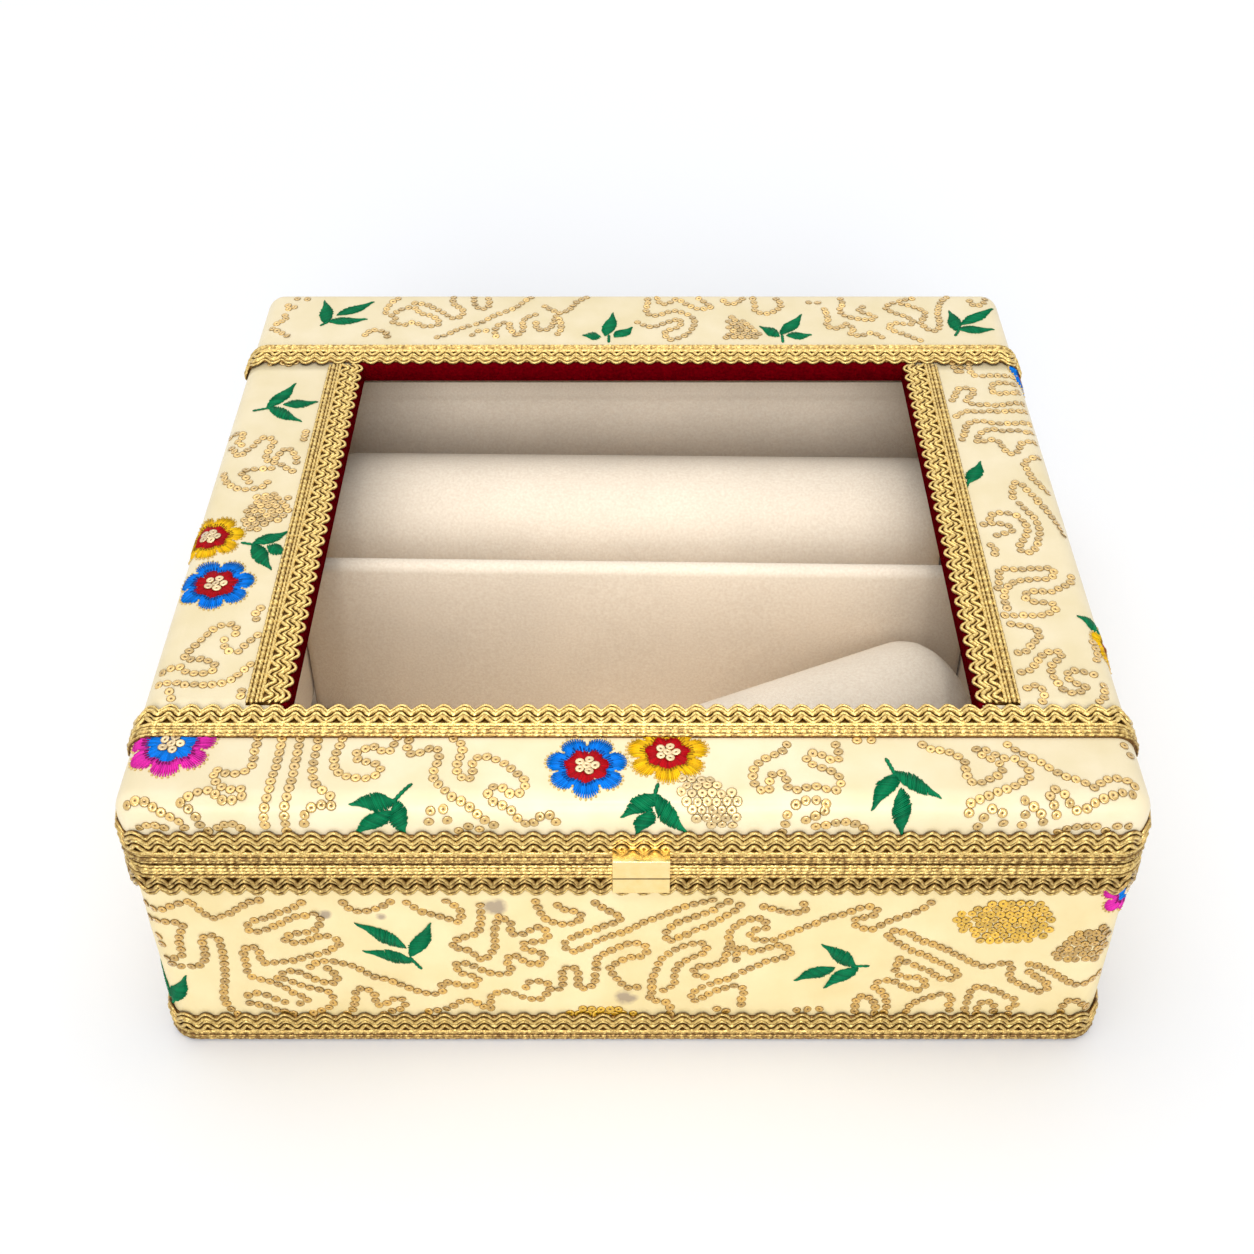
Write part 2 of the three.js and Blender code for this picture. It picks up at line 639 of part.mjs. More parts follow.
// The front roll lies across its compartment at a slant, as long as the slant leaves room for.
const skew = THREE.MathUtils.degToRad(frontRollSkewDegrees);
const frontRoom = linedHalfDepth - dividerHalf - frontRollWallGap - frontRollDividerGap;
const endCircle = rollRadius - frontRollEdgeRadius;
const straightHalf = (frontRoom / 2 - endCircle * Math.cos(skew) - frontRollEdgeRadius) / Math.sin(skew);
const frontReachX = straightHalf * Math.cos(skew) + endCircle * Math.sin(skew) + frontRollEdgeRadius;
addRoll('front', straightHalf + frontRollEdgeRadius, frontRollEdgeRadius, frontRollSkewDegrees, [
  padHalfWidth - frontRollEndGap - frontReachX,
  -linedHalfDepth + frontRollWallGap + frontRoom / 2,
  rollHeight,
]);

export default bangleBox;
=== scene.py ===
"""A bangle box with a window in its lid, dressed piece by piece over its construction model.

Sizes are in millimetres until a mesh is made, where they turn into metres.
"""

import bmesh
import bpy
import numpy as np
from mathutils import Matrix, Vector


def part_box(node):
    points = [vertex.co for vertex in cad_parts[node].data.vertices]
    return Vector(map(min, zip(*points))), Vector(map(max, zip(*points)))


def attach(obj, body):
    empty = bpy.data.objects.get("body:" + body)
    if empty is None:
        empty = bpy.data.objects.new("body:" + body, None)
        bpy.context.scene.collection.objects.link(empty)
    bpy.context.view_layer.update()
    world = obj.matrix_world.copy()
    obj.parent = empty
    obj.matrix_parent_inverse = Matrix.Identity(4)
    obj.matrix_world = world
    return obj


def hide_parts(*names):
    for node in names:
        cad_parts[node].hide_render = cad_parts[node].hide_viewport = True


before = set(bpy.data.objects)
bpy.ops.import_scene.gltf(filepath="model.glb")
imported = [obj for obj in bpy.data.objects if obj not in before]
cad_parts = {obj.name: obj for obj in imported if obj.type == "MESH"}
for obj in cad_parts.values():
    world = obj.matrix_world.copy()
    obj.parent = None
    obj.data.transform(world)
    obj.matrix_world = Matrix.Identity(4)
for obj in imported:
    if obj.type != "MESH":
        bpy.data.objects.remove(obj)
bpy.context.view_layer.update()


# Carcase boards: the stiff panels of the base and the lid, and the divider's core.
# Sawn fibreboard, glued edge to edge. Cloth, braid and velvet hide most of it, so the boards keep the
# construction model's shape, with the mottled look of raw board.
METRE = 0.001
BOARD_TONES = ((0.52, 0.39, 0.25), (0.68, 0.54, 0.37))
FIBRE_SIZE = 1.2
FIBRE_STRETCH = (1.0, 1.0, 3.0)
FIBRE_RELIEF = 0.12


def linear(shown):
    """Colours as a screen shows them, turned into the linear ones that shaders take: a straight line
    near black, and a power of 2.4 above it."""
    shown = np.asarray(shown, float)
    return np.where(shown <= 0.04045, shown / 12.92, ((shown + 0.055) / 1.055) ** 2.4)


def tint(shown):
    """One screen colour as a socket takes it: linear, with full cover."""
    return (*linear(shown).tolist(), 1.0)


def add_node(tree, kind, inputs=None, **settings):
    """Adds a shader node and fills its inputs by name: a socket is linked and a value is set."""
    made = tree.nodes.new("ShaderNode" + kind)
    for name, value in settings.items():
        setattr(made, name, value)
    for name, value in (inputs or {}).items():
        if isinstance(value, bpy.types.NodeSocket):
            tree.links.new(value, made.inputs[name])
        else:
            made.inputs[name].default_value = value
    return made


def new_finish(name, **sockets):
    """A material whose Principled shader has the named sockets set, with its tree and its shader."""
    made = bpy.data.materials.new(name)
    made.use_nodes = True
    shader = made.node_tree.nodes["Principled BSDF"]
    for socket, value in sockets.items():
        shader.inputs[socket.replace("_", " ")].default_value = value
    return made, made.node_tree, shader


def grain(tree, size, detail=3.0, stretch=(1.0, 1.0, 1.0)):
    """Soft noise from 0 to 1 over the piece's own place, with grains of about the given size."""
    place = add_node(tree, "TexCoord").outputs["Object"]
    spread = add_node(tree, "Mapping", {"Vector": place, "Scale": stretch}).outputs["Vector"]
    scale = 1 / (size * METRE)
    return add_node(tree, "TexNoise", {"Vector": spread, "Scale": scale, "Detail": detail}).outputs["Fac"]


def two_tone(tree, factor, low, high, start=0.3, end=0.7):
    """A ramp between two colours, from the first at start to the second at end."""
    ramp = add_node(tree, "ValToRGB", {"Fac": factor})
    ramp.color_ramp.elements[0].position = start
    ramp.color_ramp.elements[0].color = tint(low)
    ramp.color_ramp.elements[1].position = end
    ramp.color_ramp.elements[1].color = tint(high)
    return ramp.outputs["Color"]


def roughen(tree, shader, height, depth):
    """Raises the surface by a height value from 0 to 1, up to the given depth."""
    bump = add_node(tree, "Bump", {"Height": height, "Distance": depth * METRE, "Strength": 1.0})
    tree.links.new(bump.outputs["Normal"], shader.inputs["Normal"])


def mottled_finish(name, tones, size, detail, depth=0.0, stretch=(1.0, 1.0, 1.0), **sockets):
    """A finish that goes from one tone to another in grains of a size, raised with them to a depth."""
    made, tree, shader = new_finish(name, **sockets)
    speckle = grain(tree, size, detail, stretch)
    tree.links.new(two_tone(tree, speckle, *tones), shader.inputs["Base Color"])
    if depth:
        roughen(tree, shader, speckle, depth)
    return made


def dress_node(name, finish):
    """Gives a construction node that stays in sight its finish."""
    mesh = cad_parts[name].data
    mesh.materials.clear()
    mesh.materials.append(finish)


board_finish = mottled_finish("raw_fibreboard", BOARD_TONES, FIBRE_SIZE, 5.0, FIBRE_RELIEF, FIBRE_STRETCH,
                              Roughness=0.85)
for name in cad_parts:
    if name.endswith(("_board", "_rail")):
        dress_node(name, board_finish)


# Felt under the base: one thin sheet, glued flat to the bottom board.
# Pressed wool felt, oatmeal coloured, with its cut edge just inside the foot braid.
FELT_TONES = ((0.68, 0.62, 0.52), (0.80, 0.75, 0.65))
FELT_EDGE = 0.4
FELT_STEP = 12.0
WOOL_SIZE = 0.8
WOOL_RELIEF = 0.15
EDGE_TICKS = 5
WELD_DISTANCE = 1e-6


def node_box(name):
    """A construction node's lowest and highest corner, in millimetres."""
    low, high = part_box(name)
    return np.array(low) / METRE, np.array(high) / METRE


def grid_faces(rows, columns, closed_rows=False, closed_columns=False, copies=1):
    """Quads of a grid numbered row by row, facing the way of rows crossed with columns.

    A closed direction joins its last line to its first. Copies repeat the grid with new numbers.
    """
    row = np.arange(rows if closed_rows else rows - 1)
    column = np.arange(columns if closed_columns else columns - 1)
    i, j = np.meshgrid(row, column, indexing="ij")
    here, there = i * columns, (i + 1) % rows * columns
    right = (j + 1) % columns
    quads = np.stack([here + j, there + j, there + right, here + right], -1).reshape(-1, 4)
    first = np.arange(copies) * rows * columns
    return (quads[None] + first[:, None, None]).reshape(-1, 4)


def joined(*shapes):
    """Several (points, faces) shapes as one."""
    points = [np.asarray(shape[0], float).reshape(-1, 3) for shape in shapes]
    first = np.cumsum([0] + [len(part) for part in points[:-1]])
    faces = [shape[1] + start for shape, start in zip(shapes, first)]
    return np.concatenate(points), np.concatenate(faces)


def facing_out(points, faces):
    """The same closed shape with its faces outward: they turn round if they hold a negative volume."""
    points = np.asarray(points, float).reshape(-1, 3)
    a, b, c, d = (points[faces[:, k]] for k in range(4))
    volume = (a * np.cross(b, c)).sum() + (a * np.cross(c, d)).sum()
    return points, faces if volume > 0 else faces[:, ::-1]


def new_piece(name, shape, finish, body, stands_for=(), paint=None, weld=False):
    """Puts a shape in millimetres into a mesh object, ties it to its body, and hides the nodes it stands
    for.

    Paint is a colour for each point, kept as an attribute. Weld joins points in the same place.
    """
    points, faces = shape
    mesh = bpy.data.meshes.new(name)
    mesh.from_pydata((np.asarray(points).reshape(-1, 3) * METRE).tolist(), [], faces.tolist())
    if paint is not None:
        layer = mesh.attributes.new("paint", "FLOAT_COLOR", "POINT")
        layer.data.foreach_set("color", np.asarray(paint, np.float32).ravel())
    if weld:
        work = bmesh.new()
        work.from_mesh(mesh)
        bmesh.ops.remove_doubles(work, verts=work.verts, dist=WELD_DISTANCE)
        work.to_mesh(mesh)
        work.free()
    mesh.shade_smooth()
    mesh.materials.append(finish)
    made = bpy.data.objects.new(name, mesh)
    bpy.context.collection.objects.link(made)
    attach(made, body)
    if stands_for:
        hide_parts(*stands_for)
    return made


def soft_box(low, high, edge, step):
    """A box with round edges, its faces gridded.

    Points of the six faces are drawn in to the box that lies one edge radius inside, then pushed out
    by that radius along the line between.
    """
    centre, half = (low + high) / 2, (high - low) / 2
    ticks = []
    for reach in half:
        flat = reach - edge
        middle = np.linspace(-flat, flat, max(int(2 * flat / step), 1) + 1)
        turn = flat + edge * np.tan(np.linspace(0, np.pi / 4, EDGE_TICKS)[1:])
        ticks.append(np.concatenate([-turn[::-1], middle, turn]))
    sides = []
    for axis in range(3):
        first, second = (axis + 1) % 3, (axis + 2) % 3
        a, b = np.meshgrid(ticks[first], ticks[second], indexing="ij")
        for sign in (-1, 1):
            side = np.empty(a.shape + (3,))
            side[..., axis] = sign * half[axis]
            side[..., first] = a
            side[..., second] = b
            quads = grid_faces(*a.shape)
            sides.append((side, quads if sign > 0 else quads[:, ::-1]))
    points, faces = joined(*sides)
    inner = np.clip(points, -(half - edge), half - edge)
    outward = points - inner
    outward /= np.linalg.norm(outward, axis=-1, keepdims=True)
    return centre + (inner + edge * outward), faces


felt_finish = mottled_finish("pressed_felt", FELT_TONES, WOOL_SIZE, 6.0, WOOL_RELIEF, Roughness=0.95,
                             Sheen_Weight=0.3)
felt = new_piece("felt_sheet", soft_box(*node_box("base_felt"), FELT_EDGE, FELT_STEP), felt_finish,
                 "base", ["base_felt"], weld=True)


# Base cloth: one ivory satin band, drawn round the four walls, glued, and turned in over the rim.
# The satin lies under a clear film, so it shines a little along bends, and it is slightly uneven
# where glue has pulled it down. A few grey smudges of glue show through on the front. At the rear it
# lies just below the hinge leaves.
BASE_IVORY = ((0.928, 0.843, 0.612), (0.968, 0.893, 0.688))
MOTTLE_SIZE = 14.0
WEAVE_SIZE = 0.45
WEAVE_RELIEF = 0.03
CORNER_RADIUS = 7.0
LEAST_CORNER = 0.4
CLOTH_THICKNESS = 1.0
CLOTH_BEND = 1.0
CLOTH_STEP = 4.0
CLOTH_ROWS = 19
BEND_ROWS = 5
RIM_TURN_IN = 9.3
LEAF_PROUD = 0.15
WRINKLE = 0.10
WRINKLE_WAVES = [(0.11, 0.23, 0.0, 1.0), (0.047, -0.31, 1.3, 1.0), (0.29, 0.13, 0.7, 0.6)]
GLUE_SMUDGES = [(-35, 55.5, 4.5), (-78, 52.5, 2.5), (-64, 51.5, 2.0), (-2, 18, 4.5)]
SMUDGE_GREY = (0.60, 0.52, 0.45)
SMUDGE_GRAIN = 3.0
SMUDGE_FADE = (0.08, 0.28)
SMUDGE_COVER = 0.8


def wall_knots(half_width, half_depth, radius):
    """Distances round a rounded rectangle, anticlockwise from the middle of its front, where straight
    runs and corners meet; with the corner centre's place and the outward angle at each."""
    a, b, turn = half_width - radius, half_depth - radius, np.pi / 2 * radius
    along = np.cumsum([0, a, turn, 2 * b, turn, 2 * a, turn, 2 * b, turn, a])
    x = [0, a, a, a, a, -a, -a, -a, -a, 0]
    y = [-b, -b, -b, b, b, b, b, -b, -b, -b]
    angle = np.radians([-90, -90, 0, 0, 90, 90, 180, 180, 270, 270])
    return along, np.array(x), np.array(y), angle


def carried_round(half_width, half_depth, radius, profile, step, middle=(0.0, 0.0), ripple=None):
    """A closed profile of (inset, height) pairs carried once round a rounded rectangle.

    Each stop of the walk is a corner centre and an outward direction; a profile point lies out from
    the centre by the corner radius less its inset, and a corner that an inset uses up stays just round.
    A ripple gives each point an extra outward distance.
    """
    along, x, y, angle = wall_knots(half_width, half_depth, radius)
    runs = [np.linspace(p, q, max(int((q - p) / step), 6), endpoint=False) for p, q in zip(along, along[1:])]
    stops = np.concatenate(runs)
    inset, height = np.array(profile, float).T
    bend = np.maximum(radius - inset, LEAST_CORNER)
    reach = np.array([half_width, half_depth])[None, :] - inset[:, None] - bend[:, None]
    centre = np.stack([np.interp(stops, along, x), np.interp(stops, along, y)], -1)
    turned = np.interp(stops, along, angle)
    outward = np.stack([np.cos(turned), np.sin(turned)], -1)
    centre = np.clip(centre[:, None, :], -reach[None], reach[None])
    out = np.broadcast_to(bend[None, :], (len(stops), len(inset)))
    if ripple is not None:
        out = out + ripple(stops[:, None], height[None, :])
    flat = centre + outward[:, None, :] * out[..., None] + np.array(middle)
    level = np.broadcast_to(height[None, :, None], flat.shape[:2] + (1,))
    faces = grid_faces(len(stops), len(inset), True, True)
    return facing_out(np.concatenate([flat, level], -1), faces)


def cloth_ripple(along, height):
    """Slow uneven waves of the glued cloth: sines that cross at odd angles. Each has its turn for every
    millimetre along and up, its start and its share."""
    return WRINKLE / 2 * sum(share * np.sin(along * turn + height * climb + start)
                             for turn, climb, start, share in WRINKLE_WAVES)


def satin_finish(name, tones, smudges):
    """Ivory satin under a clear film: a coat over a fine weave, mottled, with grey glue smudges whose
    round edge a fine noise breaks up."""
    made, tree, shader = new_finish(name, Roughness=0.45, Coat_Weight=0.12, Coat_Roughness=0.2)
    colour = two_tone(tree, grain(tree, MOTTLE_SIZE, 4.0), *tones)
    place = add_node(tree, "TexCoord").outputs["Object"]
    ragged = grain(tree, SMUDGE_GRAIN)
    for x, z, size in smudges:
        spot = (x * METRE, wall_low[1] * METRE, z * METRE)
        there = add_node(tree, "Mapping", {"Vector": place, "Location": spot, "Scale": [size * METRE] * 3},
                         vector_type="TEXTURE")
        fade = add_node(tree, "TexGradient", {"Vector": there.outputs["Vector"]}, gradient_type="SPHERICAL")
        broken = add_node(tree, "Math", {0: fade.outputs["Fac"], 1: ragged}, operation="MULTIPLY")
        cover = add_node(tree, "MapRange", {"Value": broken.outputs[0], "From Min": SMUDGE_FADE[0],
                                            "From Max": SMUDGE_FADE[1], "To Max": SMUDGE_COVER})
        colour = add_node(tree, "Mix", {0: cover.outputs["Result"], 6: colour, 7: tint(SMUDGE_GREY)},
                          data_type="RGBA").outputs[2]
    tree.links.new(colour, shader.inputs["Base Color"])
    roughen(tree, shader, grain(tree, WEAVE_SIZE, 2.0), WEAVE_RELIEF)
    return made


wall_low, wall_high = node_box("base_cloth")
wall_half_width, wall_half_depth = wall_high[:2]
knots = wall_knots(wall_half_width, wall_half_depth, CORNER_RADIUS)
wall_length = knots[0][-1]
cloth_top = wall_high[2] - LEAF_PROUD
bend_top = cloth_top - CLOTH_BEND
bend_turn = np.linspace(0, np.pi / 2, BEND_ROWS)[1:]
outer_face = [(0.0, z) for z in np.linspace(wall_low[2], bend_top, CLOTH_ROWS)]
over_rim = list(zip(CLOTH_BEND * (1 - np.cos(bend_turn)), bend_top + CLOTH_BEND * np.sin(bend_turn)))
inner_face = [(RIM_TURN_IN, cloth_top), (RIM_TURN_IN, cloth_top - CLOTH_THICKNESS),
              (CLOTH_THICKNESS, cloth_top - CLOTH_THICKNESS), (CLOTH_THICKNESS, wall_low[2])]
wrap = carried_round(wall_half_width, wall_half_depth, CORNER_RADIUS, outer_face + over_rim + inner_face,
                     CLOTH_STEP, ripple=cloth_ripple)
base_cloth = new_piece("base_cloth_wrap", wrap, satin_finish("ivory_satin_base", BASE_IVORY, GLUE_SMUDGES),
                       "base", ["base_cloth"])


# Embroidery on the base: trails of gold sequins sewn through their middle, leaf sprigs in green silk,
# flowers in two colours of silk with a bead edge, and patches filled with sequins. The front follows
# the lines of the cloth; the sides and the back carry on the same repeat.
SEQUIN_RADIUS = 1.32
SEQUIN_STEP = 2.45
SEQUIN_SIDES = 10
SEQUIN_LIFT = 0.12
SEQUIN_TIP = 0.10
SEQUIN_SIZES = (0.93, 1.05)
SEQUIN_TONES = (0.88, 1.06)
SEQUIN_PROFILE = [(1.00, 0.02), (0.80, 0.22), (0.30, 0.15), (0.19, 0.04), (0.06, 0.03)]
# Painted shade of the sequins: a brown mixed into the gold at the rim and the eye, in these shares from rim
# to eye.
SEQUIN_PAINTED_SHADE = (0.50, 0.34, 0.10)
SEQUIN_SHADE_SHARES = [0.62, 0.04, 0.04, 0.70, 0.90]
BASE_GOLD = (0.86, 0.68, 0.31)
LID_GOLD = (0.91, 0.76, 0.45)
YELLOW_SEQUIN = (0.96, 0.76, 0.14)
CREAM_SEQUIN = (0.97, 0.86, 0.66)
PALE_GOLD = (0.95, 0.83, 0.58)
PATCH_STEP = SEQUIN_STEP * 0.98
PATCH_ROW = 0.87
PATCH_STRAY = 0.15
STITCH_WIDTH = 0.62
STITCH_HEIGHT = 0.55
STITCH_TONES = (0.84, 1.08)
LEAF_GREEN = (0.0, 0.48, 0.30)
LEAF_TONES = (0.86, 1.12)
LEAF_WIDTH = 4.3
LEAF_ENDS = (0.02, 0.97)
LEAF_FULLEST = 0.75
LEAF_BLUNT = 0.8
LEAF_TAPER = 0.9
LEAF_TIP = 0.2
LEAF_SLANT = 0.085
LEAF_STITCH_GAP = 0.42
LEAF_STITCH_WIDTH = STITCH_WIDTH * 1.1
NEEDLE_STRAY = (0.90, 1.10)
STEM_WIDTH = 1.15
STEM_STITCH = 1.2
STEM_OVERLAP = 0.25
PETAL_BLUE = (0.0, 0.52, 0.95)
PETAL_RED = (0.72, 0.0, 0.07)
PETAL_YELLOW = (1.0, 0.78, 0.08)
PETAL_PINK = (0.94, 0.20, 0.72)
PETALS = 7
PETAL_TURN = 0.25
PETAL_SPREAD = 0.97
PETAL_THREADS = 15
PETAL_NOTCH = 0.70
PETAL_START = 0.49
PETAL_DEPTH = 1.3
PETAL_SHADE = 0.62
SHADE_START = 0.50
SHADE_REACH = (0.62, 0.86)
STAR_START = 0.12
STAR_REACH = 0.69
STAR_NOTCH = 0.22
STAR_RAGGED = 0.08
BEAD_GOLD = (0.90, 0.78, 0.50)
BEAD_HALF = 0.3
FLOWER_WIDTHS = (STITCH_WIDTH * 1.15, STITCH_WIDTH * 1.45)
EYE_SEQUINS = 5
EYE_RING = 0.205
EYE_RISE = 0.45
SPECK_EDGES = (0.36, 0.56)
SPECK_RELIEF = 0.05

BASE_TRAILS = [
    [-124, 54.5, -120, 54, -116, 56, -112, 57.5],
    [-111, 56.5, -109, 53.5, -107, 51, -103.5, 52, -100, 54.5, -97, 57, -94, 58],
    [-124, 49, -118.5, 49.5, -115, 48.5, -116, 45, -117, 42, -117, 38.5, -117.5, 35.5, -121, 34.5,
     -121.5, 33, -119, 31.5, -114, 31.5, -111.5, 34, -111, 38, -111, 42, -109.5, 44, -107, 43.5,
     -106.5, 40, -106.5, 35, -107, 30, -107.5, 26, -108.5, 22, -109, 17, -108, 13, -106.5, 11],
    [-122.5, 42.5, -122, 39.5],
    [-83.5, 57, -87, 54.5, -90, 53, -93, 51, -96.5, 50, -98.5, 47.5, -97.5, 45.5, -94.5, 46, -91.5, 48,
     -89, 49.5, -86, 51.5, -83, 52, -80.5, 52.5, -79.5, 50.5, -80.5, 47.5, -83, 45.5, -86, 45, -88.5, 44,
     -89.5, 42, -87, 41, -84.5, 41.5, -82.5, 43, -79.5, 44, -77, 43, -75.5, 41, -77.5, 39, -80, 37,
     -83, 36, -86.5, 34.5, -89.5, 33.5, -93, 33, -96.5, 33, -97, 35.5, -97, 38, -99, 39.5, -101, 37.5,
     -101, 34, -101, 30.5, -101, 28, -98.5, 26, -95, 24.5, -92, 22, -90.5, 20.5, -88, 18.5, -87, 17,
     -89, 15.5],
    [-93.5, 26.5, -92, 28.5, -89, 29.5, -86, 27.5, -83, 25.5, -80, 24, -78, 26, -78.5, 28.5, -80, 30.5],
    [-84.5, 31, -82.5, 33, -79, 33.5, -75.5, 32.5, -72.5, 31, -70, 28.5, -67.5, 26.5, -64.5, 25.5,
     -61.5, 23.5, -58.5, 21.5, -55.5, 20, -52.5, 19.5, -50.5, 21, -50.5, 24, -48, 24.5, -45.5, 23.5,
     -43, 23, -41, 25, -41.5, 27, -44.5, 28, -46, 30, -46.5, 32, -43.5, 32.5, -41, 31, -38.5, 29,
     -35.5, 28, -32.5, 28.5, -32, 31, -33, 34, -31, 36, -29.5, 34.5, -27, 32.5, -24.5, 32.5, -23, 35,
     -24.5, 37.5, -27.5, 38, -28.5, 40.5, -25.5, 41.5, -22.5, 42.5, -22, 45, -23.5, 47.5, -26.5, 46,
     -28.5, 44.5, -31.5, 45, -31, 48.5, -33, 51, -34, 52, -35, 48, -35.5, 44, -35.5, 40, -37, 36.5,
     -39, 34, -41, 36, -43.5, 38.5, -46.5, 39, -45.5, 42, -43, 43.5, -40, 45, -39, 48.5, -38.5, 52,
     -38.5, 56],
    [-92, 26, -89.5, 24.5, -86.5, 22.5, -83.5, 21.5, -81, 20.5, -80, 18, -80.5, 15, -82.5, 13, -86, 11.5],
    [-73, 57, -71.5, 54.5, -69.5, 53.5, -66.5, 54, -63.5, 55.5, -61, 57.5],
    [-57, 57, -55.5, 55.5, -53, 53.5, -50, 52, -47.5, 51, -44.5, 49.5, -43.5, 53, -45, 56, -47, 57.5],
    [-102.5, 19, -100, 20, -97.5, 19, -95.5, 17.5, -93, 16],
    [-102.5, 15.5, -99, 14.5, -96.5, 13, -94, 12, -91.5, 11],
    [-77, 11, -75.5, 12.5, -74.5, 15.5, -74, 18, -73.5, 21, -71.5, 22, -69.5, 20.5, -68.5, 18, -69, 15.5,
     -66.5, 15, -64.5, 17, -62, 17.5, -61, 15, -62.5, 13, -65.5, 12, -67, 11],
    [-55, 12, -52, 12.5, -49, 13.5, -47.5, 15, -45.5, 16.5, -42.5, 16.5, -40.5, 14.5, -38.5, 13, -38, 16,
     -37.5, 19, -36, 20.5, -33, 20.5, -30.5, 19, -28, 17.5, -25, 17.5, -23.5, 19, -22, 21.5, -22.5, 24,
     -25, 25, -27.5, 24.5, -28.5, 22.5],
    [-22, 21.5, -19.5, 21.5, -18.5, 24, -18.5, 27, -18.5, 29.5, -16.5, 31, -14.5, 29.5, -14.5, 26.5,
     -14.5, 23.5, -14, 22, -11.5, 22.5, -10, 25, -10, 28, -9.5, 31, -9.5, 34, -7.5, 36.5, -5, 38.5,
     -2.5, 40, 0, 41, 3, 40, 3.5, 37.5, 1.5, 35.5, -1, 35, -4, 33, -6, 30.5, -5, 27.5, -3, 24, -1, 22,
     1, 22.5],
    [-24.5, 57.5, -24, 55, -23, 52, -21.5, 50, -18, 48.5, -15, 49, -13, 51.5, -14.5, 53.5, -17, 54,
     -19, 56],
    [-9.5, 57, -7, 54.5, -4.5, 52.5, -3, 51.5, -4, 49.5, -7, 48, -10, 46.5, -13, 45, -16, 43, -17.5, 41,
     -17, 38.5, -15, 37.5, -13, 39, -10.5, 41, -8, 42.5, -5.5, 44, -2.5, 45.5, 0, 47, 3, 49.5, 6, 51,
     9, 53, 11, 54.5, 14, 56, 17, 57, 20, 58],
    [24, 57.5, 21.5, 55.5, 19.5, 53.5, 16.5, 52, 14, 50.5, 11, 49, 9, 46.5, 8.5, 44.5, 9, 41.5,
     10.5, 42.5, 12.5, 44, 15, 45.5, 17.5, 47, 20.5, 49, 23, 51.5, 25.5, 53.5, 27, 56],
    [5, 20, 5, 23, 5, 26, 6, 29, 6.5, 32, 7.5, 34.5, 9.5, 37, 12, 39, 15, 40.5, 17.5, 41, 19, 39,
     18, 36.5, 15.5, 35, 13, 33, 11.5, 31, 11, 28, 11, 25.5, 10.5, 23, 8, 21],
    [4.5, 18, 5, 16.5, 7, 16.5, 9.5, 15.5, 10, 13, 10, 11],
    [34, 47, 33.5, 50, 31.5, 51, 28.5, 50, 26, 47.5, 24.5, 44.5, 25, 41, 24.5, 38, 24, 35, 23, 33,
     20.5, 31.5, 18, 31.5, 16, 30, 16.5, 27.5, 19, 27],
    [27, 34, 27, 36, 26.5, 39, 28, 39, 30.5, 37.5, 33, 38, 36, 39.5, 38.5, 40, 40.5, 38, 40.5, 36,
     38, 34.5, 35, 33.5, 32.5, 31.5, 30, 30, 27.5, 28, 25, 26, 22.5, 25, 20, 23.5, 17, 21.5, 15.5, 19,
     16.5, 16.5, 18.5, 18, 21, 20.5, 24, 22, 27, 23, 29.5, 21.5, 29, 18, 29, 15],
    [31.5, 46.5, 30, 44, 32, 42.5, 35, 42, 37.5, 43, 40, 45, 42.5, 46.5, 45, 48, 47.5, 49.5, 50, 51.5,
     52.5, 52, 55, 53.5, 57.5, 55, 60, 55.5, 62, 53.5, 60, 51.5, 57, 51, 56.5, 48.5, 58.5, 47, 61, 46.5,
     63, 48, 65.5, 50, 68, 51.5, 71, 53, 73, 54.5, 75, 57],
    [33, 55.5, 35.5, 54.5, 38, 53.5, 41, 53, 43.5, 54, 43, 56.5],
    [65.5, 44, 67, 46, 69.5, 45.5, 72, 44, 74, 42, 76.5, 41, 79, 39.5, 81.5, 38, 84, 36, 87, 34, 90, 32,
     92.5, 31, 95, 32, 97.5, 33, 99, 31, 99, 28, 100, 25.5, 102, 24, 104, 22.5, 106.5, 21, 108.5, 20.5,
     110, 22.5, 108.5, 25, 106, 27, 104, 29],
    [103.5, 32.5, 106, 31.5, 108.5, 30, 111, 28, 113.5, 26, 116, 24, 118.5, 23.5, 121, 25, 123.5, 26.5],
    [66.5, 42.5, 69, 40.5, 71.5, 38.5, 74, 37, 76.5, 35.5, 79, 33.5, 81.5, 32, 84, 30, 85.5, 28, 84, 26,
     81.5, 26, 79.5, 27.5, 77, 30, 74, 31.5, 71.5, 33, 69.5, 34.5, 69, 32, 69, 29, 71, 27, 74, 27,
     76.5, 25.5, 77.5, 23.5, 75.5, 21.5, 73, 22, 70.5, 24, 67.5, 25.5, 64.5, 24.5, 64, 22.5, 66.5, 20,
     67.5, 17, 68, 14, 67.5, 11.5],
    [59.5, 12, 59.5, 15, 60, 18, 62, 18.5, 64, 16.5, 65, 14, 65, 11.5],
    [73.5, 12, 74.5, 15, 77, 17, 79.5, 18.5, 82.5, 19.5, 85, 18, 84.5, 15.5, 85, 12.5],
    [89.5, 11, 89, 14, 89.5, 17, 89.5, 20, 91, 22.5, 94, 22, 97, 20.5, 99.5, 18.5, 101.5, 17.5,
     102.5, 15.5, 101, 13.5, 101, 11],
    [92.5, 11, 92.5, 14, 94, 16.5, 96.5, 15, 97, 12],
    [115, 12, 115.5, 15.5, 117.5, 17, 120, 15, 122, 13],
    [22.5, 13, 25, 12],
    [44, 12.5, 47, 13, 50, 13],
]
BASE_PATCHES = [
    ([107, 35, 110, 41, 115, 46, 122, 48, 123, 40, 122, 34, 115, 32.5], BASE_GOLD),
    ([81, 51, 84, 46, 88, 42, 95, 40, 101, 41, 107, 44, 107.5, 52, 103, 57.5, 95, 58, 88, 56],
     YELLOW_SEQUIN),
    ([-17, 11, -14, 15, -3, 15, 0, 11], YELLOW_SEQUIN),
]
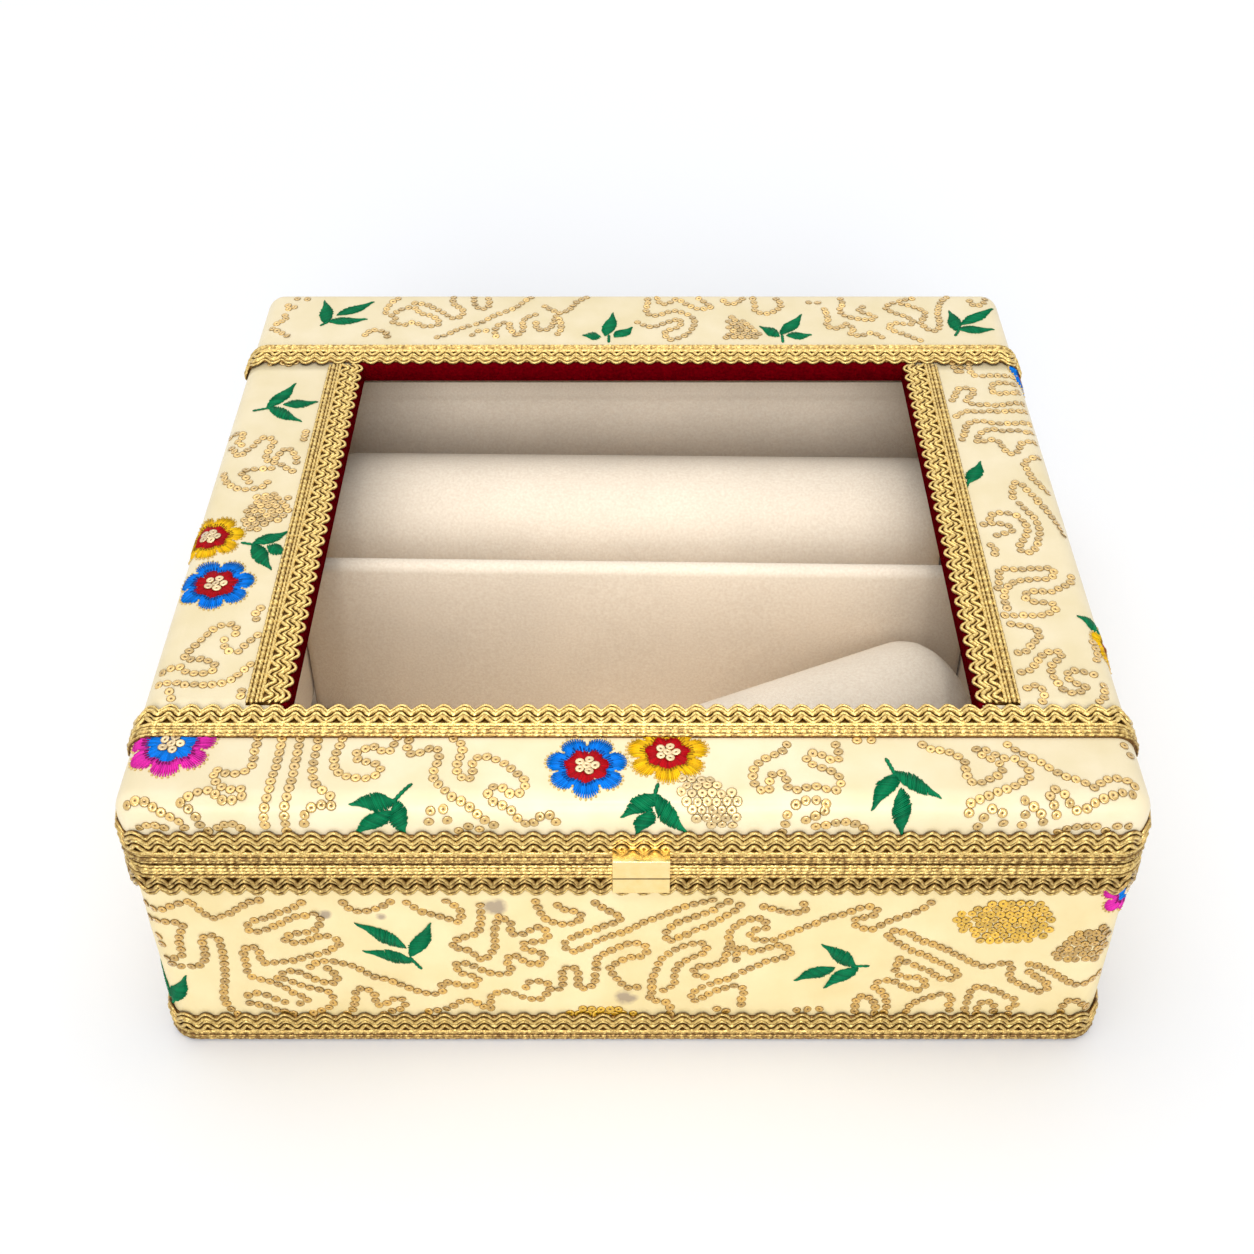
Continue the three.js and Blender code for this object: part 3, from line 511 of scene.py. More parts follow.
BASE_SPRIGS = [
    ([-55.5, 30.5, -58, 35], [[-59, 40, -70.5, 48.5], [-57.5, 34, -69.5, 37.5], [-57, 36, -52, 48.5]]),
    ([61.5, 31.5, 57.5, 31.5], [[58, 32, 49, 40], [52, 31, 43, 25.5], [58, 31, 51, 22.5]]),
    ([-126, 11, -124, 14], [[-124, 14, -118, 27], [-126, 14, -129, 26]]),
]
BASE_FLOWERS = [(126.5, 60.0, 9.0, PETAL_PINK, PETAL_BLUE)]


def pairs(numbers):
    """A flat list as rows of two."""
    return np.array(numbers, float).reshape(-1, 2)


def on_wall(places, lift):
    """A place on the covered walls, from its distance round them and its height, lifted straight out:
    the corner centre there, plus the outward direction times the corner radius and the lift."""
    along, x, y, angle = knots
    stop = np.mod(places[..., 0], wall_length)
    turned = np.interp(stop, along, angle)
    out = CORNER_RADIUS + lift
    return np.stack([np.interp(stop, along, x) + np.cos(turned) * out,
                     np.interp(stop, along, y) + np.sin(turned) * out,
                     np.broadcast_to(places[..., 1], out.shape)], -1)


def along_trail(corners, step):
    """Places one step apart on a smooth line through the corners: a Catmull-Rom curve, finely sampled,
    then cut into equal lengths."""
    knot = pairs(corners)
    knot = np.vstack([2 * knot[0] - knot[1], knot, 2 * knot[-1] - knot[-2]])
    p, q, r, s = knot[:-3], knot[1:-2], knot[2:-1], knot[3:]
    t = np.linspace(0, 1, 10, endpoint=False)[:, None, None]
    curve = q + t / 2 * (r - p + t * (2 * p - 5 * q + 4 * r - s + t * (3 * (q - r) + s - p)))
    line = np.vstack([curve.transpose(1, 0, 2).reshape(-1, 2), knot[-2:-1]])
    reach = np.concatenate([[0], np.cumsum(np.linalg.norm(np.diff(line, axis=0), axis=1))])
    wanted = np.linspace(0, reach[-1], max(int(round(reach[-1] / step)), 1) + 1)
    return np.stack([np.interp(wanted, reach, line[:, 0]), np.interp(wanted, reach, line[:, 1])], -1)


def in_patch(outline, step):
    """Places in rows, each row shifted by half a step, that lie inside a closed outline: a place is
    inside where a line to its right crosses the outline an odd number of times."""
    corner = pairs(outline)
    low, high = corner.min(0), corner.max(0)
    rows = np.arange(low[1], high[1], step * PATCH_ROW)
    x, y = np.meshgrid(np.arange(low[0] - step, high[0] + step, step), rows)
    x = x + (np.arange(len(rows)) % 2 * step / 2)[:, None]
    places = np.stack([x.ravel(), y.ravel()], -1)
    start, end = corner, np.roll(corner, -1, 0)
    above = (start[None, :, 1] > places[:, None, 1]) != (end[None, :, 1] > places[:, None, 1])
    rise = np.where(end[:, 1] == start[:, 1], 1.0, end[:, 1] - start[:, 1])
    cross = start[:, 0] + (places[:, None, 1] - start[:, 1]) / rise * (end[:, 0] - start[:, 0])
    return places[(above & (places[:, None, 0] < cross)).sum(1) % 2 == 1]


def sequins(places, colours, rises, surface, chance):
    """Cupped discs with painted shade at the small eye and round the rim: a profile of radius and lift
    turned about each place, tipped a little by chance, and laid on the surface. Rises lift those that lie
    on silk."""
    count = len(places)
    radius, lift = np.array(SEQUIN_PROFILE).T
    turn = np.linspace(0, 2 * np.pi, SEQUIN_SIDES, endpoint=False)
    reach = SEQUIN_RADIUS * chance.uniform(*SEQUIN_SIZES, (count, 1, 1, 1))
    spoke = np.stack([np.cos(turn), np.sin(turn)], -1)[None, None] * radius[None, :, None, None] * reach
    tip = chance.normal(0, SEQUIN_TIP, (count, 1, 1, 2))
    height = SEQUIN_LIFT + rises[:, None, None] + lift[None, :, None] + (spoke * tip).sum(-1)
    points = surface(places[:, None, None, :] + spoke, height)
    faces = grid_faces(len(radius), SEQUIN_SIDES, True, True, count)
    shade_share = np.array(SEQUIN_SHADE_SHARES)[None, :, None, None]
    shade = np.array(colours)[:, None, None, :] * (1 - shade_share) + np.array(SEQUIN_PAINTED_SHADE) * shade_share
    shade = np.clip(shade * chance.uniform(*SEQUIN_TONES, (count, 1, 1, 1)), 0, 1)
    return facing_out(points, faces), painted(np.broadcast_to(shade, points.shape))


def painted(shown):
    """Screen colours as paint, one row for each point: linear, with full cover."""
    rows = linear(shown).reshape(-1, 3)
    return np.concatenate([rows, np.ones((len(rows), 1))], -1)


def stitches(starts, ends, colours, width, surface):
    """Threads lying on the surface: three rings of four points along each, low and narrow at both ends
    where the thread dives in, full in the middle, with both ends closed."""
    along = ends - starts
    across = np.stack([-along[:, 1], along[:, 0]], -1)
    across /= np.linalg.norm(along, axis=1, keepdims=True)
    share = np.array([0.0, 0.5, 1.0])
    swell = np.array([0.55, 1.0, 0.55])
    side = np.array([-0.5, 0.0, 0.5, 0.0])
    rise = np.array([0.35, 1.0, 0.35, 0.0])
    middle = starts[:, None, :] + along[:, None, :] * share[None, :, None]
    places = middle[:, :, None, :] + (across[:, None, None, :] * width[:, None, None, None]
                                      * (swell[:, None] * side)[None, ..., None])
    points = surface(places, np.broadcast_to(STITCH_HEIGHT * swell[:, None] * rise, places.shape[:-1]))
    tube = grid_faces(len(share), len(side), False, True, len(starts))
    size = len(share) * len(side)
    ring = np.arange(len(side))
    first = np.arange(len(starts))[:, None] * size
    faces = np.concatenate([tube, first + ring, first + size - 1 - ring])
    return facing_out(points, faces), painted(np.broadcast_to(colours[:, None, None, :], points.shape))


def leaf_stitches(leaf, chance):
    """Satin stitches of one leaf, slanting across it from edge to edge: the half width follows a sine
    that is fullest before the middle, raised to a power that grows to a drawn-out tip, with a little
    unevenness where the needle went in."""
    start, tip = pairs(leaf)
    along = tip - start
    length = np.linalg.norm(along)
    across = np.array([-along[1], along[0]]) / length
    share = np.linspace(*LEAF_ENDS, int(length / LEAF_STITCH_GAP))[:, None]
    full = np.sin(np.pi * share ** LEAF_FULLEST) ** (LEAF_BLUNT + LEAF_TAPER * share)
    half = LEAF_WIDTH / 2 * full + LEAF_TIP
    left = start + along * (share - LEAF_SLANT) + across * half * chance.uniform(*NEEDLE_STRAY, half.shape)
    right = start + along * (share + LEAF_SLANT) - across * half * chance.uniform(*NEEDLE_STRAY, half.shape)
    return left, right


def flower_stitches(x, y, radius, outer, inner, chance):
    """Long and short stitches of a flower, then its bead edge. A petal's edge is a half ellipse over
    its share of the turn; the outer colour runs in from it with shorter dark threads between, and the
    inner one runs out from the middle as a ragged star with its points in the petals."""
    across = np.linspace(-1, 1, PETAL_THREADS)
    mid = 2 * np.pi * (np.arange(PETALS) + PETAL_TURN) / PETALS
    angle = (mid[:, None] + across * np.pi / PETALS * PETAL_SPREAD).ravel()
    ray = np.stack([np.cos(angle), np.sin(angle)], -1)
    centre = np.array([x, y])
    edge = np.tile(PETAL_NOTCH + (1 - PETAL_NOTCH) * np.sqrt(1 - across ** 2), PETALS) * radius
    ragged = chance.uniform(-STAR_RAGGED, STAR_RAGGED, len(angle))
    star = (np.tile(STAR_REACH - STAR_NOTCH * np.abs(across), PETALS) + ragged) * radius
    deep = edge * chance.uniform(*SHADE_REACH, len(angle))
    deeper = np.array(outer) ** PETAL_DEPTH * PETAL_SHADE
    layers = [(ray, PETAL_START, edge, outer), (ray[::2], SHADE_START, deep[::2], deeper),
              (ray, STAR_START, star, inner)]
    starts = np.concatenate([centre + way * start * radius for way, start, _, _ in layers])
    ends = np.concatenate([centre + way * end[:, None] for way, _, end, _ in layers])
    thread = np.concatenate([np.tile(colour, (len(way), 1)) for way, _, _, colour in layers])
    shade = chance.uniform(*STITCH_TONES, (len(starts), 1))
    rim = (centre + ray * (edge[:, None] + BEAD_HALF))[::2]
    sideways = np.stack([-ray[:, 1], ray[:, 0]], -1)[::2] * BEAD_HALF
    beads = (rim - sideways, rim + sideways, np.tile(BEAD_GOLD, (len(rim), 1)))
    return (starts, ends, np.clip(thread * shade, 0, 1)), beads


def embroider(body, surface, gold, trails, patches, sprigs, flowers, repeats, seed):
    """Sews a cloth: its sequins as one piece and its silk as another. Repeats are (shift, reach) pairs:
    how far the motifs move along the cloth, and how far from their middle they still count."""
    chance = np.random.default_rng(seed)
    spots = [along_trail(trail, SEQUIN_STEP) for trail in trails]
    hues = [np.tile(gold, (len(row), 1)) for row in spots]
    for outline, colour in patches:
        filled = in_patch(outline, PATCH_STEP)
        spots.append(filled + chance.normal(0, PATCH_STRAY, filled.shape))
        hues.append(np.tile(colour, (len(filled), 1)))
    on_cloth = sum(map(len, spots))
    turn = np.linspace(0, 2 * np.pi, EYE_SEQUINS, endpoint=False)
    eye = EYE_RING * np.vstack([np.stack([np.cos(turn), np.sin(turn)], -1), [0, 0]])
    for x, y, radius, _, _ in flowers:
        spots.append(np.array([x, y]) + radius * eye)
        hues.append(np.tile(CREAM_SEQUIN, (len(eye), 1)))
    spots, hues = np.concatenate(spots), np.concatenate(hues)
    rises = np.where(np.arange(len(spots)) < on_cloth, 0.0, EYE_RISE)
    starts, ends, width = [], [], []
    for stem, leaves in sprigs:
        left, right = zip(*[leaf_stitches(leaf, chance) for leaf in leaves])
        stem = along_trail(stem, STEM_STITCH)
        more = STEM_OVERLAP * np.diff(stem, axis=0)
        starts += [*left, stem[:-1] - more]
        ends += [*right, stem[1:] + more]
        width += [np.full(sum(map(len, left)), LEAF_STITCH_WIDTH), np.full(len(more), STEM_WIDTH)]
    green = sum(map(len, starts))
    silk = [np.clip(np.array(LEAF_GREEN) * chance.uniform(*LEAF_TONES, (green, 1)), 0, 1)]
    for flower in flowers:
        for thick, part in zip(FLOWER_WIDTHS, flower_stitches(*flower, chance)):
            starts.append(part[0])
            ends.append(part[1])
            silk.append(part[2])
            width.append(np.full(len(part[0]), thick))
    starts, ends, silk, width = map(np.concatenate, (starts, ends, silk, width))
    discs, threads = [], []
    for shift, reach in repeats:
        move = np.array([shift, 0])
        near = np.abs(spots[:, 0]) < reach
        discs.append(sequins(spots[near] + move, hues[near], rises[near], surface, chance))
        near = np.abs(starts[:, 0]) < reach
        threads.append(stitches(starts[near] + move, ends[near] + move, silk[near], width[near], surface))
    for kind, parts, finish in [("sequins", discs, sequin_finish), ("silk", threads, silk_finish)]:
        shapes, paints = zip(*parts)
        new_piece(f"{body}_{kind}", joined(*shapes), finish, body,
                  paint=np.concatenate(paints))


def multiplied(tree, first, second):
    """Two colours multiplied, channel by channel."""
    return add_node(tree, "Mix", {0: 1.0, 6: first, 7: second}, data_type="RGBA",
                    blend_type="MULTIPLY").outputs[2]


def painted_finish(name, size, low, **sockets):
    """A finish whose colour is the piece's own paint, darkened in specks of a size down to a low tone."""
    made, tree, shader = new_finish(name, **sockets)
    paint = add_node(tree, "Attribute", attribute_name="paint").outputs["Color"]
    speckle = grain(tree, size, 2.0)
    lighten = two_tone(tree, speckle, low, (1.0, 1.0, 1.0), *SPECK_EDGES)
    tree.links.new(multiplied(tree, paint, lighten), shader.inputs["Base Color"])
    roughen(tree, shader, speckle, SPECK_RELIEF)
    return made


sequin_finish = painted_finish("gold_sequin", 0.35, (0.94, 0.93, 0.90), Roughness=0.22, Metallic=0.4,
                               Coat_Weight=1.0, Coat_Roughness=0.1)
silk_finish = painted_finish("silk_thread", 0.3, (0.92, 0.92, 0.92), Roughness=0.5, Specular_IOR_Level=0.12)
side_step = wall_length / 4
embroider("base", on_wall, BASE_GOLD, BASE_TRAILS, BASE_PATCHES, BASE_SPRIGS, BASE_FLOWERS,
          [(0.0, 140.0), (side_step, 113.0), (2 * side_step, 117.0), (3 * side_step, 113.0)], 11)


# Gold braids of the base: one round the rim and one round the foot, glued on over the cloth.
# A woven gimp braid of metallic thread on a tape: a heading of straight grainy cords along one edge,
# and along the other two arched cords over one that hangs in swags, with eyes between them.
# Braid paint is painted light: each cord is painted from a shade colour to a highlight colour by how its
# section faces up, with painted glints along the twist and at random.
BRAID_PERIOD = 5.35
BRAID_PAINTED_SHADE = (0.33, 0.19, 0.02)
BRAID_PAINTED_HIGHLIGHT = (1.0, 0.885, 0.57)
# The tape's gold is darkened as painted shade between the cords.
TAPE_GOLD_IN_SHADE = (0.48, 0.33, 0.09)
TAPE_WIDTH = 9.8
TAPE_MARGIN = 0.2
TAPE_UNDER = 0.05
TAPE_HEIGHT = 0.62
TAPE_STEP = 2.5
ARCH_FOOT = 0.04
SWAG_FOOT = 0.01
CORD_SAMPLES = 11
CORD_SIDES = 6
CORD_TWIST = 0.14
CORD_PAINTED_SHADE = 0.06
CORD_PAINTED_HIGHLIGHT = 1.15
HIGHLIGHT_POWER = 1.2
LOBE_PAINTED_GLINT = 0.20
CORD_GLINT_LOW = 0.72
HEADING_GLINT_LOW = 0.3
GLINT_TOP = 1.15
PHASE_STEP = 0.01


def gold_thread(light):
    """Painted light on metallic thread, from 0, a painted brown shadow, to 1, a painted cream highlight."""
    dark, bright = np.array(BRAID_PAINTED_SHADE), np.array(BRAID_PAINTED_HIGHLIGHT)
    return dark + (bright - dark) * np.clip(light, 0, 1)[..., None]


def arches(place, rise):
    """A line of arches that meet in cusps, round side out: from the place of the cusps it rises by the
    size of a sine, its foot a little rounded."""
    return lambda phase: place + rise * np.sqrt(np.sin(phase / 2) ** 2 + ARCH_FOOT)


def swags(place, rise):
    """A line of swags, hanging from cusps that point out under the arches' crests."""
    return lambda phase: place + rise * (1 - np.sqrt(np.cos(phase / 2) ** 2 * (1 - SWAG_FOOT) + SWAG_FOOT))


def midway(first, second):
    """A line midway between two others."""
    return lambda phase: (first(phase) + second(phase)) / 2


def straight(place):
    """A line straight along the tape, at the given place across it."""
    return lambda phase: np.full(np.shape(phase), place)


# Each cord has its line, its radius, its lift and the depth of its knots. A thin edge cord and a thick
# main one go in arches, a knotted one fills the eyes above the swags, and a rib ends the wave.
main_line = arches(7.0, 2.5)
swag_line = swags(4.5, 2.8)
WAVE_CORDS = [(arches(8.45, 2.6), 0.46, 0.75, 0.0), (main_line, 0.64, 0.95, 0.0),
              (midway(main_line, swag_line), 0.46, 0.75, 0.35), (swag_line, 0.58, 1.0, 0.0),
              (straight(4.0), 0.55, 0.9, 0.0)]
HEADING_CORDS = [(straight(0.6), 0.46, 0.7, 0.1), (straight(1.75), 0.70, 0.7, 0.1),
                 (straight(2.95), 0.52, 0.7, 0.1)]


def braid_cord(lay, length, closed, cord, painted_glow, glint_low, chance):
    """One cord of the braid and its paint: a two-lobed section that twists as it is carried along its
    line, set square to the line's slope. The paint is painted light: a painted highlight on the lobes'
    tops and painted shade towards the tape, a painted glint that runs along the twist, lighter where
    knots swell the cord twice in each wave, scaled by the braid's painted glow, with random painted
    glints whose least light is the glint low. An open cord closes at its ends."""
    line, radius, lift, knots_depth = cord
    waves = max(int(round(length / BRAID_PERIOD)), 1)
    count = waves * CORD_SAMPLES + (0 if closed else 1)
    t = np.linspace(0, length, count, endpoint=not closed)
    pace = 2 * np.pi * waves / length
    phase = pace * t
    slope = (line(phase + PHASE_STEP) - line(phase - PHASE_STEP)) / (2 * PHASE_STEP) * pace
    turn = np.linspace(0, 2 * np.pi, CORD_SIDES, endpoint=False) + np.pi / CORD_SIDES
    lobe = np.cos(2 * turn - 3 * phase[:, None])
    swell = 1 + knots_depth * np.cos(2 * phase)[:, None]
    thick = radius * swell * (1 + CORD_TWIST * lobe)
    if not closed:
        thick[[0, -1]] = 0.0
    sideways = thick * np.cos(turn)
    square = np.sqrt(1 + slope ** 2)[:, None]
    places = np.stack([t[:, None] - sideways * slope[:, None] / square,
                       line(phase)[:, None] + sideways / square], -1)
    points = lay(places, lift + thick * np.sin(turn))
    top = CORD_PAINTED_SHADE + CORD_PAINTED_HIGHLIGHT * np.maximum(np.sin(turn), 0) ** HIGHLIGHT_POWER
    light = painted_glow * swell * top * (1 - LOBE_PAINTED_GLINT + LOBE_PAINTED_GLINT * lobe)
    light = light * chance.uniform(glint_low, GLINT_TOP, (count, 1))
    return facing_out(points, grid_faces(count, CORD_SIDES, closed, True)), painted(gold_thread(light))


def braid_tape(lay, length, closed):
    """The tape under the cords: a flat strip with a thin closed section."""
    count = int(length / TAPE_STEP)
    t = np.linspace(0, length, count, endpoint=not closed)
    across = np.array([TAPE_MARGIN, TAPE_WIDTH, TAPE_WIDTH, TAPE_MARGIN])
    lift = np.tile([TAPE_UNDER, TAPE_UNDER, TAPE_HEIGHT, TAPE_HEIGHT], (count, 1))
    if not closed:
        lift[[0, -1]] = TAPE_UNDER
    places = np.stack(np.broadcast_arrays(t[:, None], across[None, :]), -1)
    return facing_out(lay(places, lift), grid_faces(count, len(across), closed, True))


def lay_braid(place, body, lay, length, closed, seed, painted_glow, heading_painted_glow):
    """Makes a whole braid with the function that lays its tape on the box: tape, waving cords, and the
    heading's straight ones. Wave and heading each have their own painted glow, a painted light on their
    threads."""
    chance = np.random.default_rng(seed)
    tape = braid_tape(lay, length, closed)
    parts = [(tape, painted(np.tile(TAPE_GOLD_IN_SHADE, (len(tape[0]), 1))))]
    for cords, light, glint_low in [(WAVE_CORDS, painted_glow, CORD_GLINT_LOW), (HEADING_CORDS, heading_painted_glow, HEADING_GLINT_LOW)]:
        parts += [braid_cord(lay, length, closed, cord, light, glint_low, chance) for cord in cords]
    shapes, paints = zip(*parts)
    new_piece(place + "_gimp", joined(*shapes), braid_finish, body, [place + "_braid"],
              paint=np.concatenate(paints), weld=not closed)


def round_walls(heading_height, way):
    """Lays a braid round the walls: its heading at the given height, its wave above (1) or below (-1)."""
    return lambda places, lift: on_wall(
        np.stack([places[..., 0], heading_height + way * places[..., 1]], -1), lift)


braid_finish = painted_finish("gold_braid_thread", 0.4, (0.80, 0.74, 0.60), Roughness=0.28, Metallic=0.55)
# The last two numbers are the painted glow of wave and heading, painted light that brightens the threads;
# the rim's heading gets more, against the shade of the parting gap.
for place, way, seed, painted_glow, heading_painted_glow in [("base_rim", -1, 21, 0.95, 2.1),
                                               ("base_foot", 1, 22, 1.4, 0.85)]:
    low, high = node_box(place + "_braid")
    heading = low[2] if way > 0 else high[2]
    lay_braid(place, "base", round_walls(heading, way), wall_length, True, seed, painted_glow, heading_painted_glow)


# Velvet inside the base: the floor, the front and rear linings, the divider and the padded end panels.
# Beige short-pile velvet over card, and over foam at the ends, pushed in and glued. The divider stands
# slightly askew, the end panels are pumped up as cloth, and the boards above them are covered alike.
VELVET_LIGHT = (1.0, 0.948, 0.87)
VELVET_DARK = (0.95, 0.883, 0.795)
NAP_SIZE = 0.8
STROKE_SIZE = 26.0
STROKE_TONES = ((0.97, 0.97, 0.97), (1.0, 1.0, 1.0))
PILE_SIZE = 0.6
PILE_RELIEF = 0.12
DIVIDER_HALF_THICKNESS = 2.9
DIVIDER_REACH = 102.4
DIVIDER_SKEW = -1.1
DIVIDER_EDGE = 2.6
DIVIDER_STEP = 6.0
FOLD_HEIGHT = 55.0
FOLD_DEPTH = 0.45
PAD_EDGE = 2.5
PAD_STEP = 4.0
PAD_SLACK = 0.9
PAD_VOXEL = 3.0
PAD_PRESSURE = 4.0
SWELL_FRAMES = 20


def velvet_finish(name, low, high, sheen, specular):
    """Short-pile velvet: matt, with a sheen at grazing angles, slow shading from stroked pile and a
    fine nap."""
    made, tree, shader = new_finish(name, Roughness=0.9, Sheen_Weight=sheen, Sheen_Roughness=0.4,
                                    Sheen_Tint=tint(high), Specular_IOR_Level=specular)
    nap = two_tone(tree, grain(tree, NAP_SIZE, 4.0), low, high)
    stroked = two_tone(tree, grain(tree, STROKE_SIZE, 2.0), *STROKE_TONES)
    tree.links.new(multiplied(tree, nap, stroked), shader.inputs["Base Color"])
    roughen(tree, shader, grain(tree, PILE_SIZE), PILE_RELIEF)
    return made


def turned(shape, degrees):
    """A shape turned about the upright line through the origin."""
    points, faces = shape
    cos, sin = np.cos(np.radians(degrees)), np.sin(np.radians(degrees))
    x, y, z = np.moveaxis(np.asarray(points), -1, 0)
    return np.stack([x * cos - y * sin, x * sin + y * cos, z], -1), faces


def fitted(points, low, high):
    """Points stretched along each axis until they just fill a box."""
    start, end = points.min(0), points.max(0)
    return low + (points - start) / (end - start) * (high - low)


def swollen(shape, slack, voxel, low, high):
    """A closed shape pumped up as cloth until it fills a box. A copy is remeshed evenly, air pressure
    pushes it out for some frames without gravity, and no point goes farther than the slack."""
    points, faces = shape
    mesh = bpy.data.meshes.new("swelling")
    mesh.from_pydata((points.reshape(-1, 3) * METRE).tolist(), [], faces.tolist())
    trial = bpy.data.objects.new("swelling", mesh)
    bpy.context.collection.objects.link(trial)
    even = trial.modifiers.new("even", "REMESH")
    even.mode = "VOXEL"
    even.voxel_size = voxel * METRE
    graph = bpy.context.evaluated_depsgraph_get()
    trial.data = bpy.data.meshes.new_from_object(trial.evaluated_get(graph))
    trial.modifiers.clear()
    start = np.empty(len(trial.data.vertices) * 3)
    trial.data.vertices.foreach_get("co", start)
    quads = np.empty(len(trial.data.polygons) * 4, int)
    trial.data.polygons.foreach_get("vertices", quads)
    cloth = trial.modifiers.new("cloth", "CLOTH")
    cloth.settings.use_pressure = True
    cloth.settings.uniform_pressure_force = PAD_PRESSURE
    cloth.settings.effector_weights.gravity = 0
    for number in range(1, SWELL_FRAMES + 1):
        bpy.context.scene.frame_set(number)
    graph = bpy.context.evaluated_depsgraph_get()
    end = np.empty(len(start))
    trial.evaluated_get(graph).data.vertices.foreach_get("co", end)
    bpy.data.objects.remove(trial)
    bpy.context.scene.frame_set(1)
    move = (end - start).reshape(-1, 3) / METRE
    far = np.linalg.norm(move, axis=1, keepdims=True)
    move *= np.minimum(1, slack / np.maximum(far, 1e-9))
    return fitted(start.reshape(-1, 3) / METRE + move, low, high), quads.reshape(-1, 4)


def soften(piece):
    """One level of subdivision."""
    smooth = piece.modifiers.new("smooth", "SUBSURF")
    smooth.levels = smooth.render_levels = 1


beige_velvet = velvet_finish("beige_velvet", VELVET_DARK, VELVET_LIGHT, 0.2, 0.2)
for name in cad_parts:
    if name.endswith("_skirt") or name in ("base_left_board", "base_right_board"):
        dress_node(name, beige_velvet)
for name, edge, step in [("floor_lining", 1.0, 8.0), ("front_lining", 0.45, 8.0),
                         ("rear_lining", 0.45, 1.2)]:
    low, high = node_box(name)
    points, faces = soft_box(low, high, edge, step)
    if name == "rear_lining":
        in_front = points[:, 1] < (low[1] + high[1]) / 2
        points[:, 1] += np.where(in_front & (points[:, 2] < FOLD_HEIGHT), FOLD_DEPTH, 0.0)
    new_piece(name + "_velvet", (points, faces), beige_velvet, "base", [name], weld=True)
low, high = node_box("divider_velvet")
half = np.array([DIVIDER_REACH, DIVIDER_HALF_THICKNESS])
low[:2], high[:2] = -half, half
sleeve = turned(soft_box(low, high, DIVIDER_EDGE, DIVIDER_STEP), DIVIDER_SKEW)
new_piece("divider_velvet_sleeve", sleeve, beige_velvet, "base", ["divider_velvet"],
          weld=True)
for side in ("left", "right"):
    low, high = node_box(side + "_end_pad")
    slim = soft_box(low + PAD_SLACK, high - PAD_SLACK, PAD_EDGE, PAD_STEP)
    pad = new_piece(side + "_end_pad_velvet", swollen(slim, PAD_SLACK, PAD_VOXEL, low, high), beige_velvet,
                    "base", [side + "_end_pad"], weld=True)
    soften(pad)


# Bangle rolls: two velvet sleeves over foam cores, loose in their compartments.
# Each is a firm round bolster, pumped up as cloth; the front one lies askew and has rounder ends. Half
# length, heading and edge radius of each are given together.
ROLL_SIDES = 72
ROLL_SLACK = 1.2
ROLL_VOXEL = 3.0
ROLL_LIES = {"rear_roll": (101.0, -0.9, 4.0), "front_roll": (65.9, 25.0, 9.0)}
FOAM_TONES = ((0.86, 0.84, 0.78), (0.93, 0.91, 0.86))
CELL_SIZE = 0.7
CELL_RELIEF = 0.2


def roll_shape(radius, half_length, edge):
    """A bolster: a profile of distance and radius turned about its axis. The profile goes from the
    middle of one end, over a round edge, along the straight side and back to the other middle."""
    turn = np.linspace(0, np.pi / 2, 10)
    face = np.linspace(0, radius - edge, 6)[:-1]
    end = np.concatenate([np.full(len(face), -half_length), -half_length + edge * (1 - np.cos(turn))])
    out = np.concatenate([face, radius - edge * (1 - np.sin(turn))])
    straight = np.linspace(end[-1], -end[-1], 24)[1:-1]
    distance = np.concatenate([end, straight, -end[::-1]])
    width = np.concatenate([out, np.full(len(straight), radius), out[::-1]])
    around = np.linspace(0, 2 * np.pi, ROLL_SIDES, endpoint=False)
    x = np.broadcast_to(distance[:, None], (len(distance), ROLL_SIDES))
    y, z = width[:, None] * np.cos(around), width[:, None] * np.sin(around)
    return facing_out(np.stack([x, y, z], -1), grid_faces(len(distance), ROLL_SIDES, False, True))


foam_finish = mottled_finish("roll_foam", FOAM_TONES, CELL_SIZE, 4.0, CELL_RELIEF, Roughness=0.95)
for name, (half_length, heading, edge) in ROLL_LIES.items():
    dress_node(name + "_core", foam_finish)
    low, high = node_box(name + "_velvet")
    radius = (high[2] - low[2]) / 2
    reach = np.array([half_length, radius, radius])
    slim = roll_shape(radius - ROLL_SLACK, half_length - ROLL_SLACK, edge)
    points, faces = turned(swollen(slim, ROLL_SLACK, ROLL_VOXEL, -reach, reach), heading)
    roll = new_piece(name + "_bolster", (points + (low + high) / 2, faces), beige_velvet, name,
                     [name + "_velvet"], weld=True)
    soften(roll)


# Lid cloth: four lengths of the same satin, one on each rail, wrapped over the round upper edge and
# down to the parting. The front and rear lengths go round the corners; the seams lie under the braids.
LID_IVORY = ((0.935, 0.868, 0.69), (0.972, 0.913, 0.77))
LID_EDGE_RADIUS = 6.0
LID_HEM = 7.0
FRONT_FLAT = 26.0
REAR_FLAT = 40.0
SIDE_STOPS = 8
CORNER_STOPS = 5
EDGE_STOPS = 61
lid_low, lid_high = node_box("lid_front_cloth")
lid_rear_low, _ = node_box("lid_rear_cloth")
lid_side_low, lid_side_high = node_box("lid_right_cloth")
lid_top = lid_high[2]
lid_flat = np.array([wall_half_width, wall_half_depth]) - LID_EDGE_RADIUS
lid_bend = LID_EDGE_RADIUS * np.pi / 2
lid_drop = lid_bend + lid_top - LID_EDGE_RADIUS - lid_low[2]
lid_over = np.concatenate([np.linspace(0, lid_bend, 9), [lid_drop - LID_HEM, lid_drop]])
lid_satin = satin_finish("ivory_satin_lid", LID_IVORY, [])


def over_edge(far, lift):
    """How far out and how high a place on the lid lies, from its way past the flat top: the cloth runs
    round the upper edge by arc length, then straight down."""
    turn = np.minimum(far / LID_EDGE_RADIUS, np.pi / 2)
    down = np.maximum(far - lid_bend, 0)
    reach = LID_EDGE_RADIUS + lift
    return reach * np.sin(turn), lid_top - LID_EDGE_RADIUS + reach * np.cos(turn) - down


